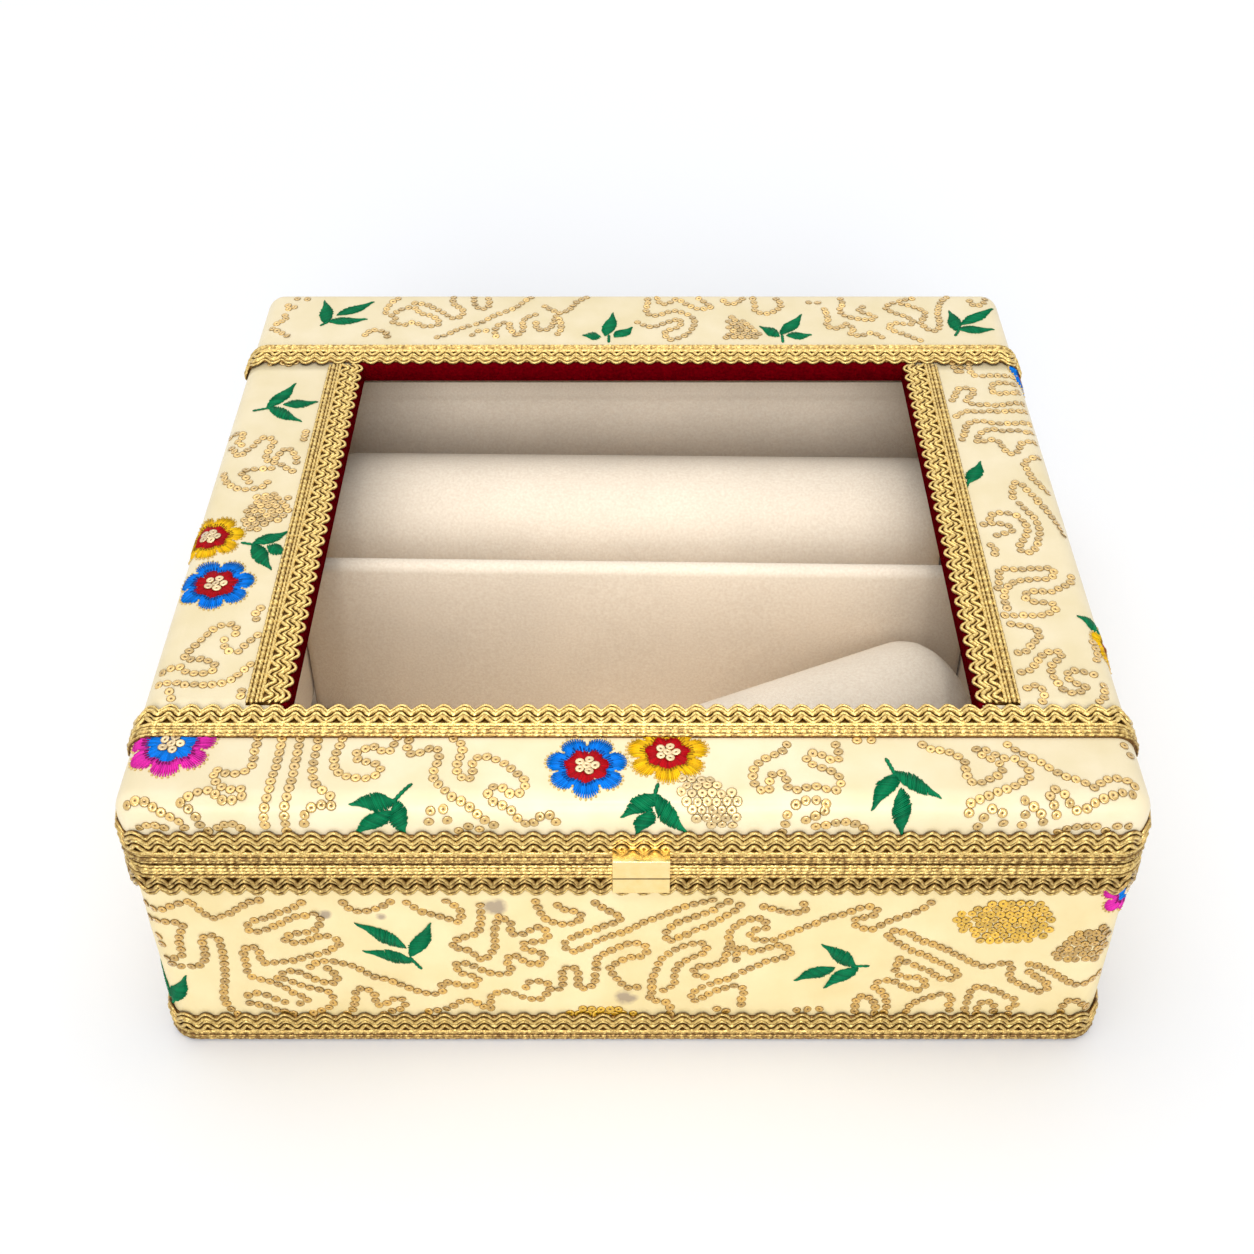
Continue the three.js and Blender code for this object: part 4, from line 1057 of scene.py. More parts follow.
def on_lid(places, lift):
    """A place on the lid from its place on the cloth laid flat, lifted straight out. At a corner both
    ways past the flat count together."""
    flat = np.clip(places, -lid_flat, lid_flat)
    over = places - flat
    far = np.linalg.norm(over, axis=-1)
    way = over / np.maximum(far, 1e-9)[..., None]
    out, level = over_edge(far, lift)
    return np.concatenate([flat + way * out[..., None], level[..., None]], -1)


def lid_strip(inner, way):
    """The front or rear cloth: from an inner straight edge out over the upper edge and round both
    corners. Rows follow the outer edge; each row runs in over the bend and then straight to its own
    place on the inner edge, so that the flat part fans out."""
    flat_x, flat_y = lid_flat[0], way * lid_flat[1]
    side = np.linspace(inner, flat_y, SIDE_STOPS)
    still = np.full(SIDE_STOPS + CORNER_STOPS, flat_x)
    x = np.concatenate([-still, np.linspace(-flat_x, flat_x, EDGE_STOPS), still])
    y = np.concatenate([side, np.full(EDGE_STOPS + 2 * CORNER_STOPS, flat_y), side[::-1]])
    plan = np.stack([x, y], -1)
    corner = np.linspace(0, np.pi / 2, CORNER_STOPS + 2)[1:-1]
    square = np.zeros(SIDE_STOPS)
    lean = np.concatenate([square, corner, np.full(EDGE_STOPS, np.pi / 2), corner[::-1], square])
    outward = np.stack([np.sign(x + 1e-6) * np.cos(lean), way * np.sin(lean)], -1)
    target = np.stack([np.linspace(-flat_x, flat_x, len(plan)), np.full(len(plan), inner)], -1)
    share = np.linspace(1, 0, 7)[:-1, None, None]
    flat = plan + (target - plan) * share
    out, level = over_edge(lid_over, 0.0)
    rows = np.concatenate([flat, plan + outward * out[:, None, None]])
    height = np.concatenate([np.full(len(flat), lid_top), level])
    points = np.concatenate([rows, np.broadcast_to(height[:, None, None], rows.shape[:2] + (1,))], -1)
    faces = grid_faces(*points.shape[:2])
    return points, faces if way < 0 else faces[:, ::-1]


def lid_side_strip(way):
    """A side cloth: a straight run from the window's edge out over the upper edge and down."""
    across = np.concatenate([np.linspace(lid_side_low[0], lid_flat[0], 6)[:-1], lid_flat[0] + lid_over])
    along = np.linspace(lid_side_low[1], lid_side_high[1], 33)
    places = np.stack(np.meshgrid(way * across, along, indexing="ij"), -1)
    faces = grid_faces(len(across), len(along))
    return on_lid(places, np.zeros(places.shape[:-1])), faces if way > 0 else faces[:, ::-1]


def thicken(piece, thickness):
    """Gives a surface its thickness, inward from the side that shows."""
    shell = piece.modifiers.new("thickness", "SOLIDIFY")
    shell.thickness = thickness * METRE
    shell.offset = -1.0


for side, shape, rail in [("front", lid_strip(lid_high[1], -1), FRONT_FLAT),
                          ("rear", lid_strip(lid_rear_low[1], 1), REAR_FLAT)]:
    cloth = new_piece(f"lid_{side}_satin", shape, lid_satin, "lid",
                      [f"lid_{side}_cloth"], weld=True)
    thicken(cloth, CLOTH_THICKNESS)
for side, way in [("left", -1), ("right", 1)]:
    cloth = new_piece(f"lid_{side}_satin", lid_side_strip(way), lid_satin, "lid",
                      [f"lid_{side}_cloth"])
    thicken(cloth, CLOTH_THICKNESS)


# Embroidery on the lid: the same work as on the base, on the flat of the four rails and over the
# upper edge. Places are across and along the lid, with the cloth laid flat.
LID_TRAILS = [
    [-93, -98, -93, -101.5, -93, -104.5, -93, -108, -95, -110, -97.5, -110.5, -100, -110, -101.5, -109,
     -101.5, -111.5, -100, -114, -97.5, -115.5, -94, -115.5, -94, -117.5, -97, -118.5, -99.5, -118,
     -101, -116, -103.5, -116, -106, -117, -108.5, -119],
    [-121.5, -119.5, -119, -118.5, -116.5, -119, -114.5, -120.5, -112, -122, -109, -124, -108, -126],
    [-106.5, -120.5, -104.5, -123, -104, -125.5, -102.5, -127],
    [-100, -126, -97, -124.5, -94.5, -126],
    [-119, -126, -116, -125, -113, -126],
    [-87, -98.5, -87, -102, -87, -105.5, -87, -108.5, -87.5, -112, -87.5, -115.5, -88, -118.5,
     -88.5, -122, -88.5, -125],
    [-82.5, -98.5, -82.5, -105.5, -82.5, -112, -83, -118, -83.5, -120.5, -83.5, -127],
    [-78, -99, -78, -102.5, -78, -106, -78, -109, -77, -113, -75, -115.5, -72.5, -117.5, -72.5, -120,
     -75.5, -119.5, -78.5, -121.5, -79, -124.5],
    [-72, -98.5, -72.5, -101.5, -73, -104, -73, -107.5, -71, -110.5, -68.5, -111.5, -65, -112,
     -62.5, -111, -61.5, -108.5, -63, -107, -65, -106.5, -67.5, -105.5, -68, -103.5, -66, -102,
     -64.5, -101, -62, -102.5, -60, -103, -59, -100, -58.5, -98],
    [-55.5, -99, -55.5, -102.5, -53.5, -104, -51.5, -102.5, -49, -101.5, -48, -102.5, -47.5, -105,
     -48, -107.5, -48.5, -111, -47.5, -113.5, -45.5, -115.5, -43.5, -117.5, -40.5, -119, -38.5, -120.5,
     -36, -123, -33.5, -125],
    [-44.5, -98.5, -42, -101, -42.5, -105, -43, -108.5, -42, -111, -40, -112.5, -39, -110, -39, -106.5,
     -37.5, -104.5, -35, -105, -32, -106.5, -30, -108.5, -28, -110.5, -26, -113, -26.5, -116, -29, -117,
     -30.5, -116, -32.5, -114.5, -34.5, -115.5, -34.5, -118, -31.5, -119.5, -29.5, -120.5, -28, -122.5,
     -25, -125, -22.5, -122.5, -20, -122, -18.5, -124],
    [-48.5, -121, -49, -124],
    [-45.5, -120.5, -44.5, -123.5],
    [-42, -127, -39.5, -125.5, -37, -126.5],
    [38, -100.5, 36.5, -103, 33.5, -104.5, 31, -106.5, 29.5, -108.5, 29, -112.5, 30.5, -115.5,
     32.5, -116, 33, -113, 33.5, -111, 35.5, -110, 37, -111.5, 37, -114, 38, -115.5, 40.5, -115.5,
     43, -114.5, 45.5, -115, 48.5, -116, 50, -114, 50, -111.5, 47.5, -109, 45, -108, 42.5, -106,
     43.5, -104, 45.5, -103.5, 48, -105.5, 50, -106, 50.5, -103.5, 50, -100.5],
    [37, -122, 36.5, -125, 36, -127.5],
    [39, -119.5, 41.5, -118.5, 44.5, -118.5, 47, -120, 45, -121.5, 41.5, -123.5],
    [44, -125.5, 46.5, -125, 50, -124, 53, -124.5, 55.5, -126],
    [55.5, -99, 59, -99],
    [71.5, -100.5, 74, -102.5, 76.5, -102.5, 79, -104, 81, -106, 81, -108.5, 81, -111.5, 81.5, -113,
     83.5, -113.5, 85.5, -112.5, 88.5, -111, 90, -108.5, 88.5, -106, 86, -104.5, 84.5, -102],
    [87, -102.5, 90.5, -105, 93.5, -105.5, 96, -108.5, 96, -111.5, 93.5, -113.5, 91, -115, 88.5, -116,
     86, -117, 83.5, -118, 81, -119, 80.5, -121.5],
    [92.5, -100.5, 95, -103, 98.5, -105.5, 100.5, -107.5, 102.5, -109.5, 105, -111.5, 108.5, -113,
     111, -115, 113.5, -113, 116, -112, 119, -112.5, 121, -114.5],
    [120, -117, 117, -116.5, 114.5, -117.5, 111.5, -118.5, 109.5, -120, 107, -121, 105, -120,
     104, -117.5, 101.5, -115.5, 100, -117.5, 101, -120, 101.5, -122],
    [94, -118.5, 96, -120, 98, -122, 98.5, -124],
    [94, -122, 93.5, -125],
    [86, -120.5, 84, -123, 83, -125.5],
    [88.5, -121.5, 89, -124.5],
    [102.5, -127.5, 105.5, -126, 108.5, -125.5, 111.5, -125.5],
    [114, -127, 116.5, -125.5, 119.5, -125.5],
    [121.5, -100.5, 122.5, -103.5],
    [-117.5, 73.5, -115, 75, -112, 73, -109.5, 74.5],
    [-124, 34, -121.5, 34.5, -119, 33, -120.5, 30, -119, 28],
    [-122, 27, -120.5, 24.5, -118.5, 22, -117, 25, -115, 28, -114, 31, -112, 32, -109.5, 30, -110, 26.5,
     -110.5, 23, -110.5, 20.5, -108, 19, -105.5, 18, -103.5, 16, -101.5, 14.5],
    [-107.5, 21, -106.5, 24, -105, 26.5, -103, 24.5, -101.5, 22, -101, 19],
    [-108, 16, -110.5, 15.5, -113, 15.5, -115.5, 15, -116.5, 13.5, -115, 11.5, -113.5, 9],
    [-108, 9, -109.5, 6.5, -112.5, 5.5, -116, 5.5, -119, 7.5, -121, 10.5, -122, 13.5],
    [-110, 1.5, -108, 2, -105, 3],
    [-100.5, 31, -100.5, 35],
    [-100.5, -48.5, -101.5, -50.5, -101, -53],
    [-105.5, -59, -106, -56, -108.5, -55, -111.5, -57, -113.5, -60, -115, -63, -116.5, -66, -117, -69,
     -114.5, -69, -112, -69, -109.5, -70.5, -108.5, -72, -109.5, -74, -112.5, -74.5, -115.5, -74,
     -118, -72, -120.5, -73, -122, -74],
    [-108, -61.5, -107.5, -64, -106, -66, -103.5, -66, -102, -63, -101, -61.5, -99.5, -59.5],
    [-122, -78.5, -117.5, -78, -115, -79, -112, -78.5, -109.5, -79, -106.5, -78.5, -104, -77.5,
     -102.5, -75.5, -101, -73.5, -99.5, -71],
    [-118.5, -81.5, -117.5, -84],
    [-100, -81, -100, -83],
    [103.5, 74, 104, 70.5, 105, 68, 106, 70.5, 106, 74],
    [109, 73.5, 108.5, 71.5, 109, 67.5, 110.5, 66.5, 113.5, 66.5, 116.5, 66.5, 119.5, 66.5, 122, 66.5],
    [121.5, 62, 118, 62.5, 115.5, 62, 114.5, 61, 114, 58, 115, 56, 117.5, 56.5, 120, 56.5, 122.5, 58],
    [100.5, 52.5, 102, 55.5, 103, 58.5, 105, 59.5, 107.5, 59, 108, 57, 106, 54, 105, 51.5, 108, 50,
     111, 50, 114.5, 49.5, 118, 50.5, 120.5, 51, 123, 51.5],
    [100.5, 43.5, 102.5, 45.5, 105, 46.5, 108, 46, 111, 46.5, 114.5, 46, 118, 46.5, 120.5, 46.5,
     123, 47.5],
    [100.5, 31, 102, 35, 103, 38.5, 105, 40.5, 108, 41, 110.5, 40, 114, 39.5, 117.5, 39.5, 120.5, 40,
     123, 40.5],
    [123, 36, 120.5, 35, 117.5, 36, 114, 35.5, 110.5, 36.5, 108, 35.5, 106.5, 34, 105, 31, 105.5, 29.5,
     108, 30.5, 111, 30.5, 112.5, 26.5, 113, 24, 115, 23.5, 117, 25.5, 118, 28.5, 120.5, 30, 123, 30.5],
    [122.5, 22.5, 120.5, 21.5, 117.5, 19, 117.5, 16, 118, 13, 118, 11.5, 119.5, 9, 120.5, 6.5, 122, 4.5],
    [111, 1.5, 111.5, 4.5, 112.5, 8.5, 114.5, 8, 115.5, 5.5, 117, 2.5, 118, 0.5],
    [100.5, -11.5, 102, -11, 105, -11, 107.5, -12, 108, -14.5, 106, -15.5, 103.5, -16.5],
    [102.5, -9, 104, -6.5, 107, -6, 109.5, -6.5, 111.5, -8.5, 112.5, -11.5, 112.5, -14.5, 111, -18,
     109, -21.5, 109.5, -24, 112, -24, 114, -21.5, 115, -18, 116, -14.5, 116, -11.5, 115.5, -8.5,
     114, -5, 112.5, -1.5],
    [118, -1, 119.5, -4, 121, -8.5, 122.5, -12.5, 123, -15],
    [101, -21, 102, -23, 101.5, -25],
    [100, -40, 101, -36, 101.5, -33, 103.5, -31.5, 106.5, -32, 110, -31.5, 113.5, -31.5, 116, -31.5,
     116.5, -34, 114.5, -36, 111.5, -36, 108.5, -36.5, 105.5, -37, 103.5, -38.5, 101.5, -41.5, 101, -45,
     101, -48.5],
    [121, -35, 120, -38, 117.5, -39.5, 114.5, -41.5, 111.5, -41.5, 108.5, -41.5, 106.5, -43.5,
     108, -45.5, 111, -46, 113.5, -46.5, 114, -49, 112, -50.5, 109, -51.5, 106, -51.5, 103, -51.5,
     100, -51.5],
    [101, -55, 103.5, -55.5, 106.5, -56.5, 108, -59, 106.5, -61.5, 104.5, -64, 102.5, -66.5, 101, -66.5],
    [100.5, -74, 102.5, -73.5, 105, -70.5, 107.5, -67, 110, -66, 112.5, -66.5, 111, -69, 108.5, -72,
     108.5, -75.5, 109.5, -79, 111, -81.5, 114, -81.5, 116, -79.5, 113.5, -78, 112, -75.5, 113.5, -73.5,
     117, -74, 119, -75],
    [101, -80, 103.5, -79, 105, -81.5, 104, -85],
    [121.5, -62, 122, -66, 121, -69],
    [121, -79, 120, -83.5, 118.5, -85],
    [-80.5, 115, -82.5, 112, -83.5, 108.5, -83.5, 105.5, -81.5, 104],
    [-80, 106, -78, 108.5, -75, 109, -73.5, 108, -72, 105.5, -70, 104.5, -68, 103.5, -66, 101.5,
     -65, 98.5, -67.5, 97, -70, 97, -72, 98.5, -74.5, 99, -77, 97.5, -78.5, 98.5, -80.5, 99.5, -80, 102],
    [-74.5, 112, -72, 111.5, -69.5, 110.5, -67.5, 108.5, -65, 106.5, -63, 104.5, -60.5, 102, -58, 103.5,
     -57.5, 106.5, -58.5, 108.5, -60.5, 110.5, -61.5, 113, -61.5, 116],
    [-54.5, 116, -54, 111.5, -51.5, 108, -49, 110.5, -49.5, 115],
    [-35, 116, -38, 112, -40.5, 108.5, -43, 106.5, -46.5, 104, -49, 101.5, -51.5, 99, -54.5, 97.5,
     -57, 96, -59.5, 94, -61.5, 92, -65, 90],
    [-53.5, 91.5, -51, 94.5, -49, 94],
    [-45.5, 90.5, -46, 93, -45.5, 97, -43, 99.5, -41.5, 98.5, -41, 95, -39, 91.5],
    [-38, 92, -36.5, 95, -37, 99, -36, 102.5, -33, 104.5],
    [-32.5, 99, -32, 95.5, -29.5, 94.5, -27.5, 96.5, -26.5, 100, -26, 103.5, -24.5, 100, -24, 95.5,
     -25, 92],
    [-30, 110, -27.5, 107.5, -25, 105.5, -21.5, 108, -20, 111.5, -18, 114, -16, 116],
    [-89, 91.5, -87.5, 94, -85, 94.5, -82.5, 93, -81.5, 90.5],
    [-117.5, 110.5, -115, 109, -117, 108],
    [-117.5, 104, -117, 101.5, -119.5, 98.5],
    [-120.5, 95.5, -118, 93.5, -115, 91],
    [-115, 115, -111.5, 114.5],
    [5, 114.5, 5, 111.5, 4.5, 107, 6, 104, 8.5, 104, 11, 105.5, 13.5, 107, 16, 106, 18.5, 104.5,
     20.5, 101.5, 20.5, 98, 19.5, 95, 17.5, 91.5, 15, 89.5],
    [1.5, 99.5, 4, 97.5, 6.5, 96.5, 9, 98, 11.5, 99.5, 13.5, 100.5, 15.5, 101.5, 16, 98.5, 14.5, 96,
     12, 94.5, 10.5, 91.5, 12.5, 88.5],
    [8.5, 115, 9.5, 111.5, 12, 112, 15, 114.5, 18, 111.5, 20.5, 109, 23.5, 108, 26.5, 109.5, 25, 112,
     22.5, 115],
    [31, 113.5, 32.5, 111.5, 35, 112, 37.5, 115],
    [41, 115, 41.5, 110.5, 41.5, 107, 44, 105, 46.5, 105.5, 49.5, 108.5, 50.5, 111.5, 49, 115],
    [60, 112.5, 61.5, 112, 63, 112.5],
    [65, 108, 65.5, 104.5, 65.5, 101, 65, 97.5, 67, 95.5, 69.5, 96.5, 71.5, 98.5, 73.5, 95.5, 72.5, 92,
     75.5, 91, 78.5, 92.5, 81, 92, 82.5, 90],
    [71, 115, 71.5, 111.5, 70, 107.5, 71, 104.5, 73.5, 102.5, 76.5, 101.5, 80, 101, 81.5, 103.5,
     78.5, 105.5, 76.5, 107, 78, 109.5],
    [95.5, 115, 91, 113.5, 87, 111, 86, 108.5, 88.5, 105.5, 91, 104, 93.5, 101.5, 94, 98.5, 91, 98.5,
     88.5, 99, 85.5, 97, 87, 94, 90, 92, 92.5, 90, 95, 88],
    [91.5, 111.5, 94.5, 110, 97.5, 108, 99, 105, 97.5, 101.5, 96.5, 99, 98.5, 95, 100.5, 94, 102.5, 96.5,
     103, 101, 103, 105, 104, 109.5, 105.5, 113.5, 107.5, 116],
    [115, 113.5, 116.5, 110, 119.5, 112, 120.5, 115],
]
LID_PATCHES = [
    ([10.5, -113, 15, -110.5, 20, -111.5, 25, -118, 26, -124, 20, -127, 13, -122], PALE_GOLD),
    ([-112.5, -3, -108, 1.5, -101, 2, -99, -5, -104, -12, -110, -15.5, -113, -9], LID_GOLD),
    ([31, 90, 32, 103.5, 37, 101, 43, 90], LID_GOLD),
]
LID_SPRIGS = [
    ([-53.5, -114, -57.5, -119],
     [[-57.5, -118.5, -67.5, -119.5], [-58.5, -121, -67, -128], [-57, -119, -55, -128.5]]),
    ([6, -114, 5, -118], [[5.5, -117, -2.5, -122.5], [4, -121, 1, -128], [5, -118, 13, -127.5]]),
    ([62, -105.5, 63.5, -110.5],
     [[63.5, -110.5, 57.5, -120.5], [63.5, -110.5, 73.5, -117.5], [64, -116, 65, -128]]),
    ([-118.5, 46.5, -114, 48],
     [[-113.5, 48.5, -108, 61.5], [-109, 49.5, -99.5, 51.5], [-114, 48, -103, 41]]),
    ([-110.5, -20, -106.5, -21],
     [[-106.5, -20.5, -98.5, -15], [-103, -22, -97, -24.5], [-107.5, -21, -100.5, -31.5]]),
    ([-104.5, 97.5, -102.5, 99.5],
     [[-102.5, 99.5, -105.5, 113], [-99, 104, -89, 112.5], [-102, 99.5, -90, 101.5]]),
    ([-8, 87, -8, 91], [[-8.5, 91.5, -7, 105], [-5.5, 90, -0.5, 96], [-11, 90.5, -16.5, 91]]),
    ([49.5, 87, 49.5, 91], [[50, 92, 56.5, 104], [48.5, 91, 42.5, 96.5], [51.5, 90.5, 59, 91.5]]),
    ([107, 91, 108.5, 94], [[108.5, 94.5, 107, 106.5], [111, 98, 122, 109], [109, 94.5, 120, 95]]),
    ([98, 6, 99.5, 10], [[100, 9, 104, 19]]),
    ([127, -57, 126, -56], [[126, -56, 119.5, -52]]),
]
LID_FLOWERS = [
    (-114.0, -100.5, 11.0, PETAL_PINK, PETAL_BLUE),
    (-11.3, -108.0, 10.0, PETAL_BLUE, PETAL_RED),
    (8.5, -103.5, 10.0, PETAL_YELLOW, PETAL_RED),
    (-120.0, -17.5, 9.5, PETAL_YELLOW, PETAL_RED),
    (-114.5, -38.5, 10.5, PETAL_BLUE, PETAL_RED),
    (130.0, -61.0, 8.5, PETAL_YELLOW, PETAL_RED),
    (130.0, 70.0, 8.5, PETAL_BLUE, PETAL_RED),
]
embroider("lid", on_lid, LID_GOLD, LID_TRAILS, LID_PATCHES, LID_SPRIGS, LID_FLOWERS, [(0.0, 140.0)], 12)


# Gold braids of the lid: one round the rim, and four round the window. The front and rear ones run
# from side to side, over the upper edge and down; the side ones lie between them, waves to the window.
FRONT_REAR_SHIFT = 0.9
SIDE_SHIFT = 1.6


def across_lid(start_x, heading_y, way):
    """Lays a braid from left to right over the lid, its wave towards the rear (1) or the front (-1)."""
    return lambda places, lift: on_lid(
        np.stack([start_x + places[..., 0], heading_y + way * places[..., 1]], -1), lift)


def along_lid(heading_x, start_y, way):
    """Lays a braid from front to rear on the lid, its wave towards the right (1) or the left (-1)."""
    return lambda places, lift: on_lid(
        np.stack([heading_x + way * places[..., 1], start_y + places[..., 0]], -1), lift)


rim_low, _ = node_box("lid_rim_braid")
# Each lid braid is given the painted glow of its wave and heading, painted light that brightens its threads.
lay_braid("lid_rim", "lid", round_walls(rim_low[2], 1), wall_length, True, 31, 1.6, 1.05)
for place, way, seed in [("lid_front", 1, 32), ("lid_rear", -1, 33)]:
    low, high = node_box(place + "_braid")
    start = -(lid_flat[0] + lid_bend + lid_top - LID_EDGE_RADIUS - low[2])
    heading = (low[1] if way > 0 else high[1]) + way * FRONT_REAR_SHIFT
    lay_braid(place, "lid", across_lid(start, heading, way), -2 * start, False, seed, 2.0, 1.75)
for place, way, seed in [("lid_left", 1, 34), ("lid_right", -1, 35)]:
    low, high = node_box(place + "_braid")
    heading = (low[0] if way > 0 else high[0]) + way * SIDE_SHIFT
    lay_braid(place, "lid", along_lid(heading, low[1], way), high[1] - low[1], False, seed, 2.2, 2.2)


# Window: a dark red velvet strip glued round the cut edge of the lid board and turned out under the
# side and rear braids, a clear pane below it, and four darker velvet strips that hold up the pane.
RED_DARK = (0.33, 0.0, 0.03)
RED_LIGHT = (0.47, 0.0, 0.05)
REVEAL_CORNER = 1.2
REVEAL_STEP = 6.0
REVEAL_THICKNESS = 0.8
REVEAL_SHOULDER = 0.64
SHOULDER_DROP = 0.3
FLANGE_REACH = 3.2
FLANGE_GAP = 0.02
FLANGE_LIFT = 0.2
FLANGE_EDGE = 0.2
FRONT_FLANGE = 0.3
FRONT_DROP = 1.2
FRONT_MARGIN = 0.1
PANE_TONES = ((0.93, 0.95, 0.95), (0.98, 0.99, 0.99))
SMEAR_SIZE = 30.0
LINING_DARK = (0.38, 0.32, 0.26)
LINING_LIGHT = (0.47, 0.40, 0.33)
LINING_EDGE = 0.9
LINING_STEP = 8.0
REAR_LINING_SETBACK = 3.4
red_velvet = velvet_finish("dark_red_velvet", RED_DARK, RED_LIGHT, 0.0, 0.0)
low, high = node_box("window_reveal")
half, middle = (high - low) / 2, (low + high) / 2
flange_under, flange_top = lid_top + FLANGE_GAP, lid_top + FLANGE_LIFT
profile = [(0.0, low[2]), (0.0, flange_under), (-FLANGE_REACH, flange_under), (-FLANGE_REACH, flange_top),
           (FLANGE_EDGE, flange_top), (REVEAL_SHOULDER, lid_top),
           (REVEAL_THICKNESS, high[2] - SHOULDER_DROP), (REVEAL_THICKNESS, low[2])]
points, faces = carried_round(half[0], half[1], REVEAL_CORNER, profile, REVEAL_STEP, middle[:2])
points[:, 1] = np.maximum(points[:, 1], low[1] - FRONT_FLANGE)
at_front = points[:, 1] < low[1] + REVEAL_THICKNESS + FRONT_MARGIN
points[:, 2] = np.where(at_front, np.minimum(points[:, 2], high[2] - FRONT_DROP), points[:, 2])
reveal = new_piece("window_reveal_velvet", (points, faces), red_velvet, "lid",
                   ["window_reveal"])
pane_finish = mottled_finish("clear_pane", PANE_TONES, SMEAR_SIZE, 3.0, Roughness=0.03, Alpha=0.015)
dress_node("window_pane", pane_finish)
taupe_velvet = velvet_finish("taupe_velvet", LINING_DARK, LINING_LIGHT, 0.1, 0.1)
for side in ("front", "rear", "left", "right"):
    low, high = node_box(f"lid_{side}_lining")
    low[1] += REAR_LINING_SETBACK if side == "rear" else 0.0
    new_piece(f"lid_{side}_lining_velvet", soft_box(low, high, LINING_EDGE, LINING_STEP), taupe_velvet,
              "lid", [f"lid_{side}_lining"], weld=True)


# Clasp and hinges: a snap clasp in two halves at the front, with a spring tongue behind, and two butt
# hinges at the rear with their pins and screws. Pressed brass, polished. The clasp's halves nearly meet;
# their meeting edges and the tongue are dark: tarnish, and painted shade of the slit between them.
CLASP_REACH = 0.1
CLASP_EDGE = 0.12
CLASP_STEP = 2.0
BRASS_TONES = ((0.97, 0.86, 0.58), (1.0, 0.90, 0.66))
WEAR_SIZE = 3.0
SCRATCH_SIZE = 0.6
SCRATCH_DEPTH = 0.006
TARNISH_AND_SLIT_SHADE_TONES = ((0.28, 0.20, 0.09), (0.46, 0.35, 0.16))
TARNISH_AND_SHADE_GRAIN = 1.5
brass_finish = mottled_finish("polished_brass", BRASS_TONES, WEAR_SIZE, 4.0, Metallic=1.0, Roughness=0.24)
brass_tree = brass_finish.node_tree
scratches = grain(brass_tree, SCRATCH_SIZE, 2.0)
roughen(brass_tree, brass_tree.nodes["Principled BSDF"], scratches, SCRATCH_DEPTH)
tarnish_and_slit_shade_finish = mottled_finish("tarnished_brass_and_slit_shade", TARNISH_AND_SLIT_SHADE_TONES, TARNISH_AND_SHADE_GRAIN, 4.0, Metallic=0.7,
                                Roughness=0.5)
dress_node("clasp_tongue", tarnish_and_slit_shade_finish)
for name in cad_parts:
    if "_hinge_" in name:
        dress_node(name, brass_finish)
for name, body, low_reach, high_reach in [("clasp_upper", "lid", CLASP_REACH, 0.0),
                                          ("clasp_lower", "base", 0.0, CLASP_REACH)]:
    low, high = node_box(name)
    low[2] -= low_reach
    high[2] += high_reach
    plate = new_piece(name + "_plate", soft_box(low, high, CLASP_EDGE, CLASP_STEP), brass_finish, body,
                      [name], weld=True)
    # Faces at the meeting edge take the dark finish: tarnish and painted shade of the slit.
    plate.data.materials.append(tarnish_and_slit_shade_finish)
    middles = np.empty(len(plate.data.polygons) * 3)
    plate.data.polygons.foreach_get("center", middles)
    meeting = low[2] if body == "lid" else high[2]
    in_slit = np.abs(middles[2::3] / METRE - meeting) < CLASP_EDGE
    plate.data.polygons.foreach_set("material_index", in_slit.astype(np.int32))


# Stage: a plain pale floor that glows a trace of blue, painted light against the warm light off the
# gold, soft light from all round, a broad lamp overhead, a smaller one from the front, a spot through
# the window, and a camera above the front edge, looking down at the lid.
FLOOR_TONES = ((0.985, 0.985, 0.985), (1.0, 1.0, 1.0))
FLOOR_BLUE_GLOW = (0.0, 0.014, 0.042, 1.0)
FLOOR_CLOUD = 900.0
FLOOR_HALF = 2.5
SKY_WHITE = (1.0, 1.0, 1.0, 1.0)
SKY_LIGHT = 0.42
LAMPS = [("overhead_lamp", -8, 60, 1.2), ("front_lamp", 62, 30, 1.52)]
LAMP_LEAN = -4
SPOT_STRENGTH = 19.0
SPOT_COLOUR = (1.0, 0.97, 0.92)
SPOT_CONE = 9.8
SPOT_BLEND = 0.8
SPOT_SOFTNESS = 0.08
SPOT_PLACE = (0.0, -0.555, 0.92)
SPOT_TILT = 31
CAMERA_PLACE = (0.0, -0.398, 0.3904)
CAMERA_PITCH = 41.07
FRAME_PIXELS = 1254
FOCAL_PIXELS = 1700.0
BOX_CENTRE_PIXEL = 633.0
SENSOR_WIDTH = 36.0


def put_up(name, device, turn, place=(0.0, 0.0, 0.0)):
    """Puts a lamp or the camera in its place, turned by degrees about each axis."""
    holder = bpy.data.objects.new(name, device)
    holder.location = place
    holder.rotation_euler = np.radians(turn)
    bpy.context.collection.objects.link(holder)
    return holder


floor_mesh = bpy.data.meshes.new("floor")
corners = FLOOR_HALF * np.array([[-1, -1, 0], [1, -1, 0], [1, 1, 0], [-1, 1, 0]], float)
floor_mesh.from_pydata(corners.tolist(), [], [[0, 1, 2, 3]])
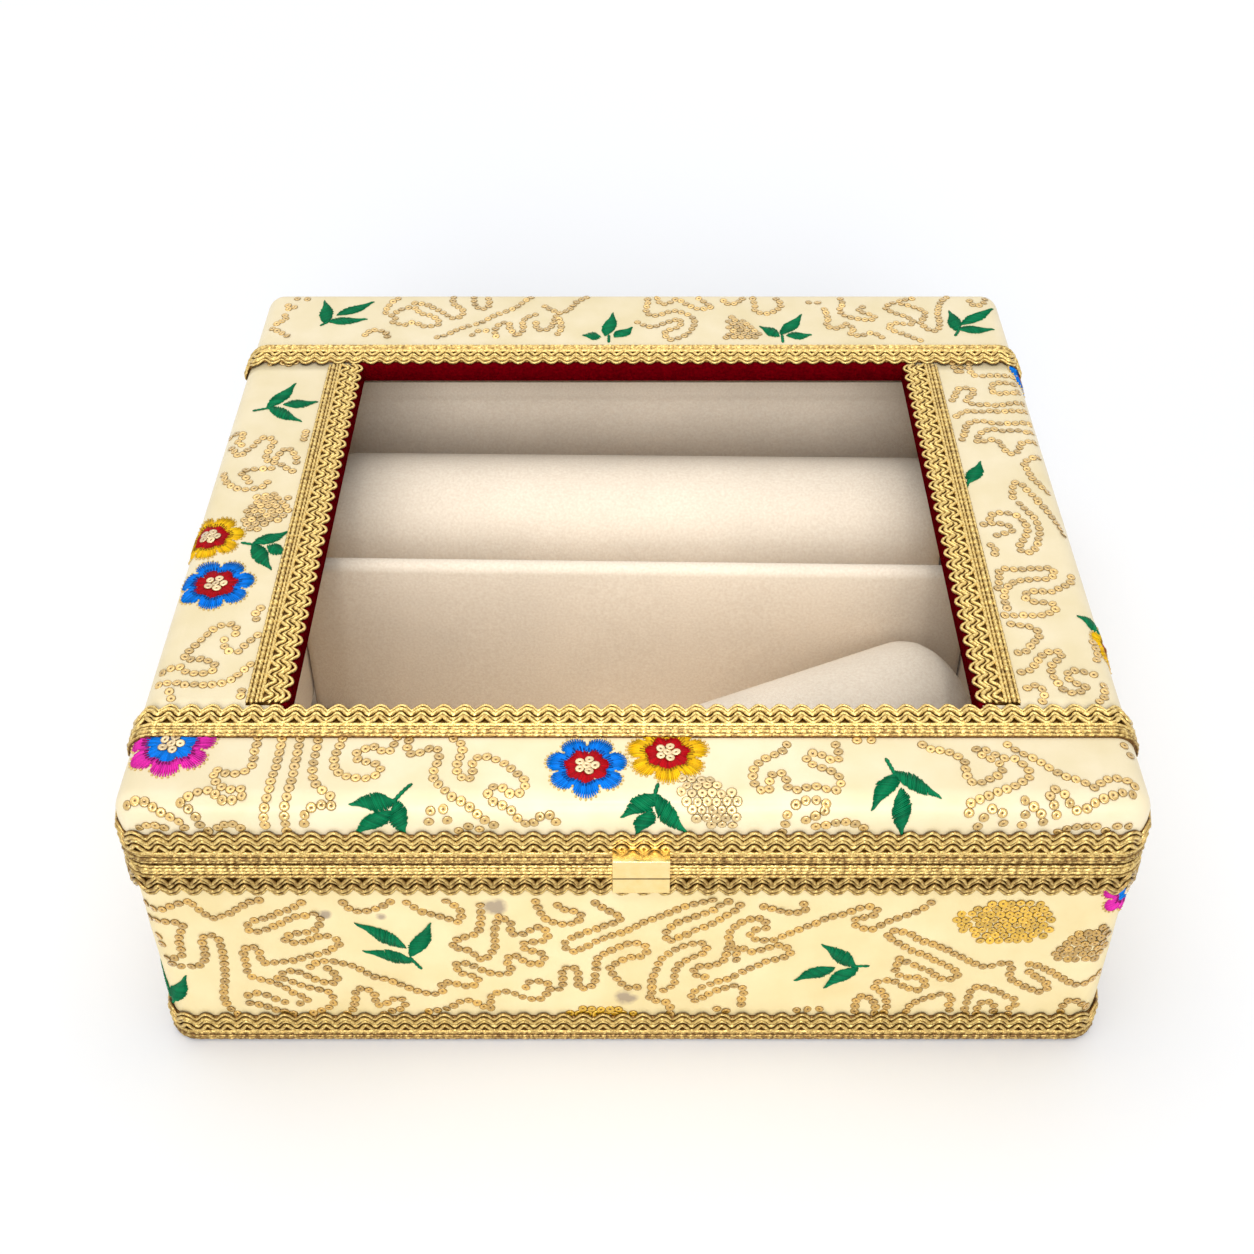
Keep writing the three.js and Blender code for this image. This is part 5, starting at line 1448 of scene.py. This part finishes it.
# The floor's faint blue emission is a painted glow against the warm bounce light.
floor_mesh.materials.append(mottled_finish("pale_floor", FLOOR_TONES, FLOOR_CLOUD, 1.0, Roughness=0.9,
                                           Specular_IOR_Level=0.0, Emission_Color=FLOOR_BLUE_GLOW,
                                           Emission_Strength=1.0))
floor = bpy.data.objects.new("floor", floor_mesh)
bpy.context.collection.objects.link(floor)

scene = bpy.context.scene
world = bpy.data.worlds.new("studio")
scene.world = world
world.use_nodes = True
sky = world.node_tree
sky.nodes.clear()
path = add_node(sky, "LightPath")
glossy = add_node(sky, "Math", {0: path.outputs["Is Camera Ray"], 1: path.outputs["Is Glossy Ray"]},
                  operation="MAXIMUM")
seen = add_node(sky, "Math", {0: glossy.outputs[0], 1: path.outputs["Is Transmission Ray"]},
                operation="MAXIMUM")
lighting = add_node(sky, "Background", {"Color": SKY_WHITE, "Strength": SKY_LIGHT})
backdrop = add_node(sky, "Background", {"Color": SKY_WHITE, "Strength": 1.0})
both = add_node(sky, "MixShader", {0: seen.outputs[0], 1: lighting.outputs[0], 2: backdrop.outputs[0]})
add_node(sky, "OutputWorld", {"Surface": both.outputs[0]})

for name, tilt, spread, strength in LAMPS:
    lamp = bpy.data.lights.new(name, "SUN")
    lamp.energy = strength
    lamp.angle = np.radians(spread)
    put_up(name, lamp, [tilt, LAMP_LEAN, 0])
inside_lamp = bpy.data.lights.new("inside_lamp", "SPOT")
inside_lamp.energy = SPOT_STRENGTH
inside_lamp.color = SPOT_COLOUR
inside_lamp.spot_size = np.radians(SPOT_CONE)
inside_lamp.spot_blend = SPOT_BLEND
inside_lamp.shadow_soft_size = SPOT_SOFTNESS
put_up("inside_lamp", inside_lamp, [SPOT_TILT, 0, 0], SPOT_PLACE)

lens = bpy.data.cameras.new("camera")
lens.sensor_width = SENSOR_WIDTH
lens.lens = SENSOR_WIDTH * FOCAL_PIXELS / FRAME_PIXELS
lens.shift_x = (FRAME_PIXELS / 2 - BOX_CENTRE_PIXEL) / FRAME_PIXELS
lens.clip_start = 0.01
scene.camera = put_up("camera", lens, [90 - CAMERA_PITCH, 0, 0], CAMERA_PLACE)
scene.view_settings.view_transform = "Standard"
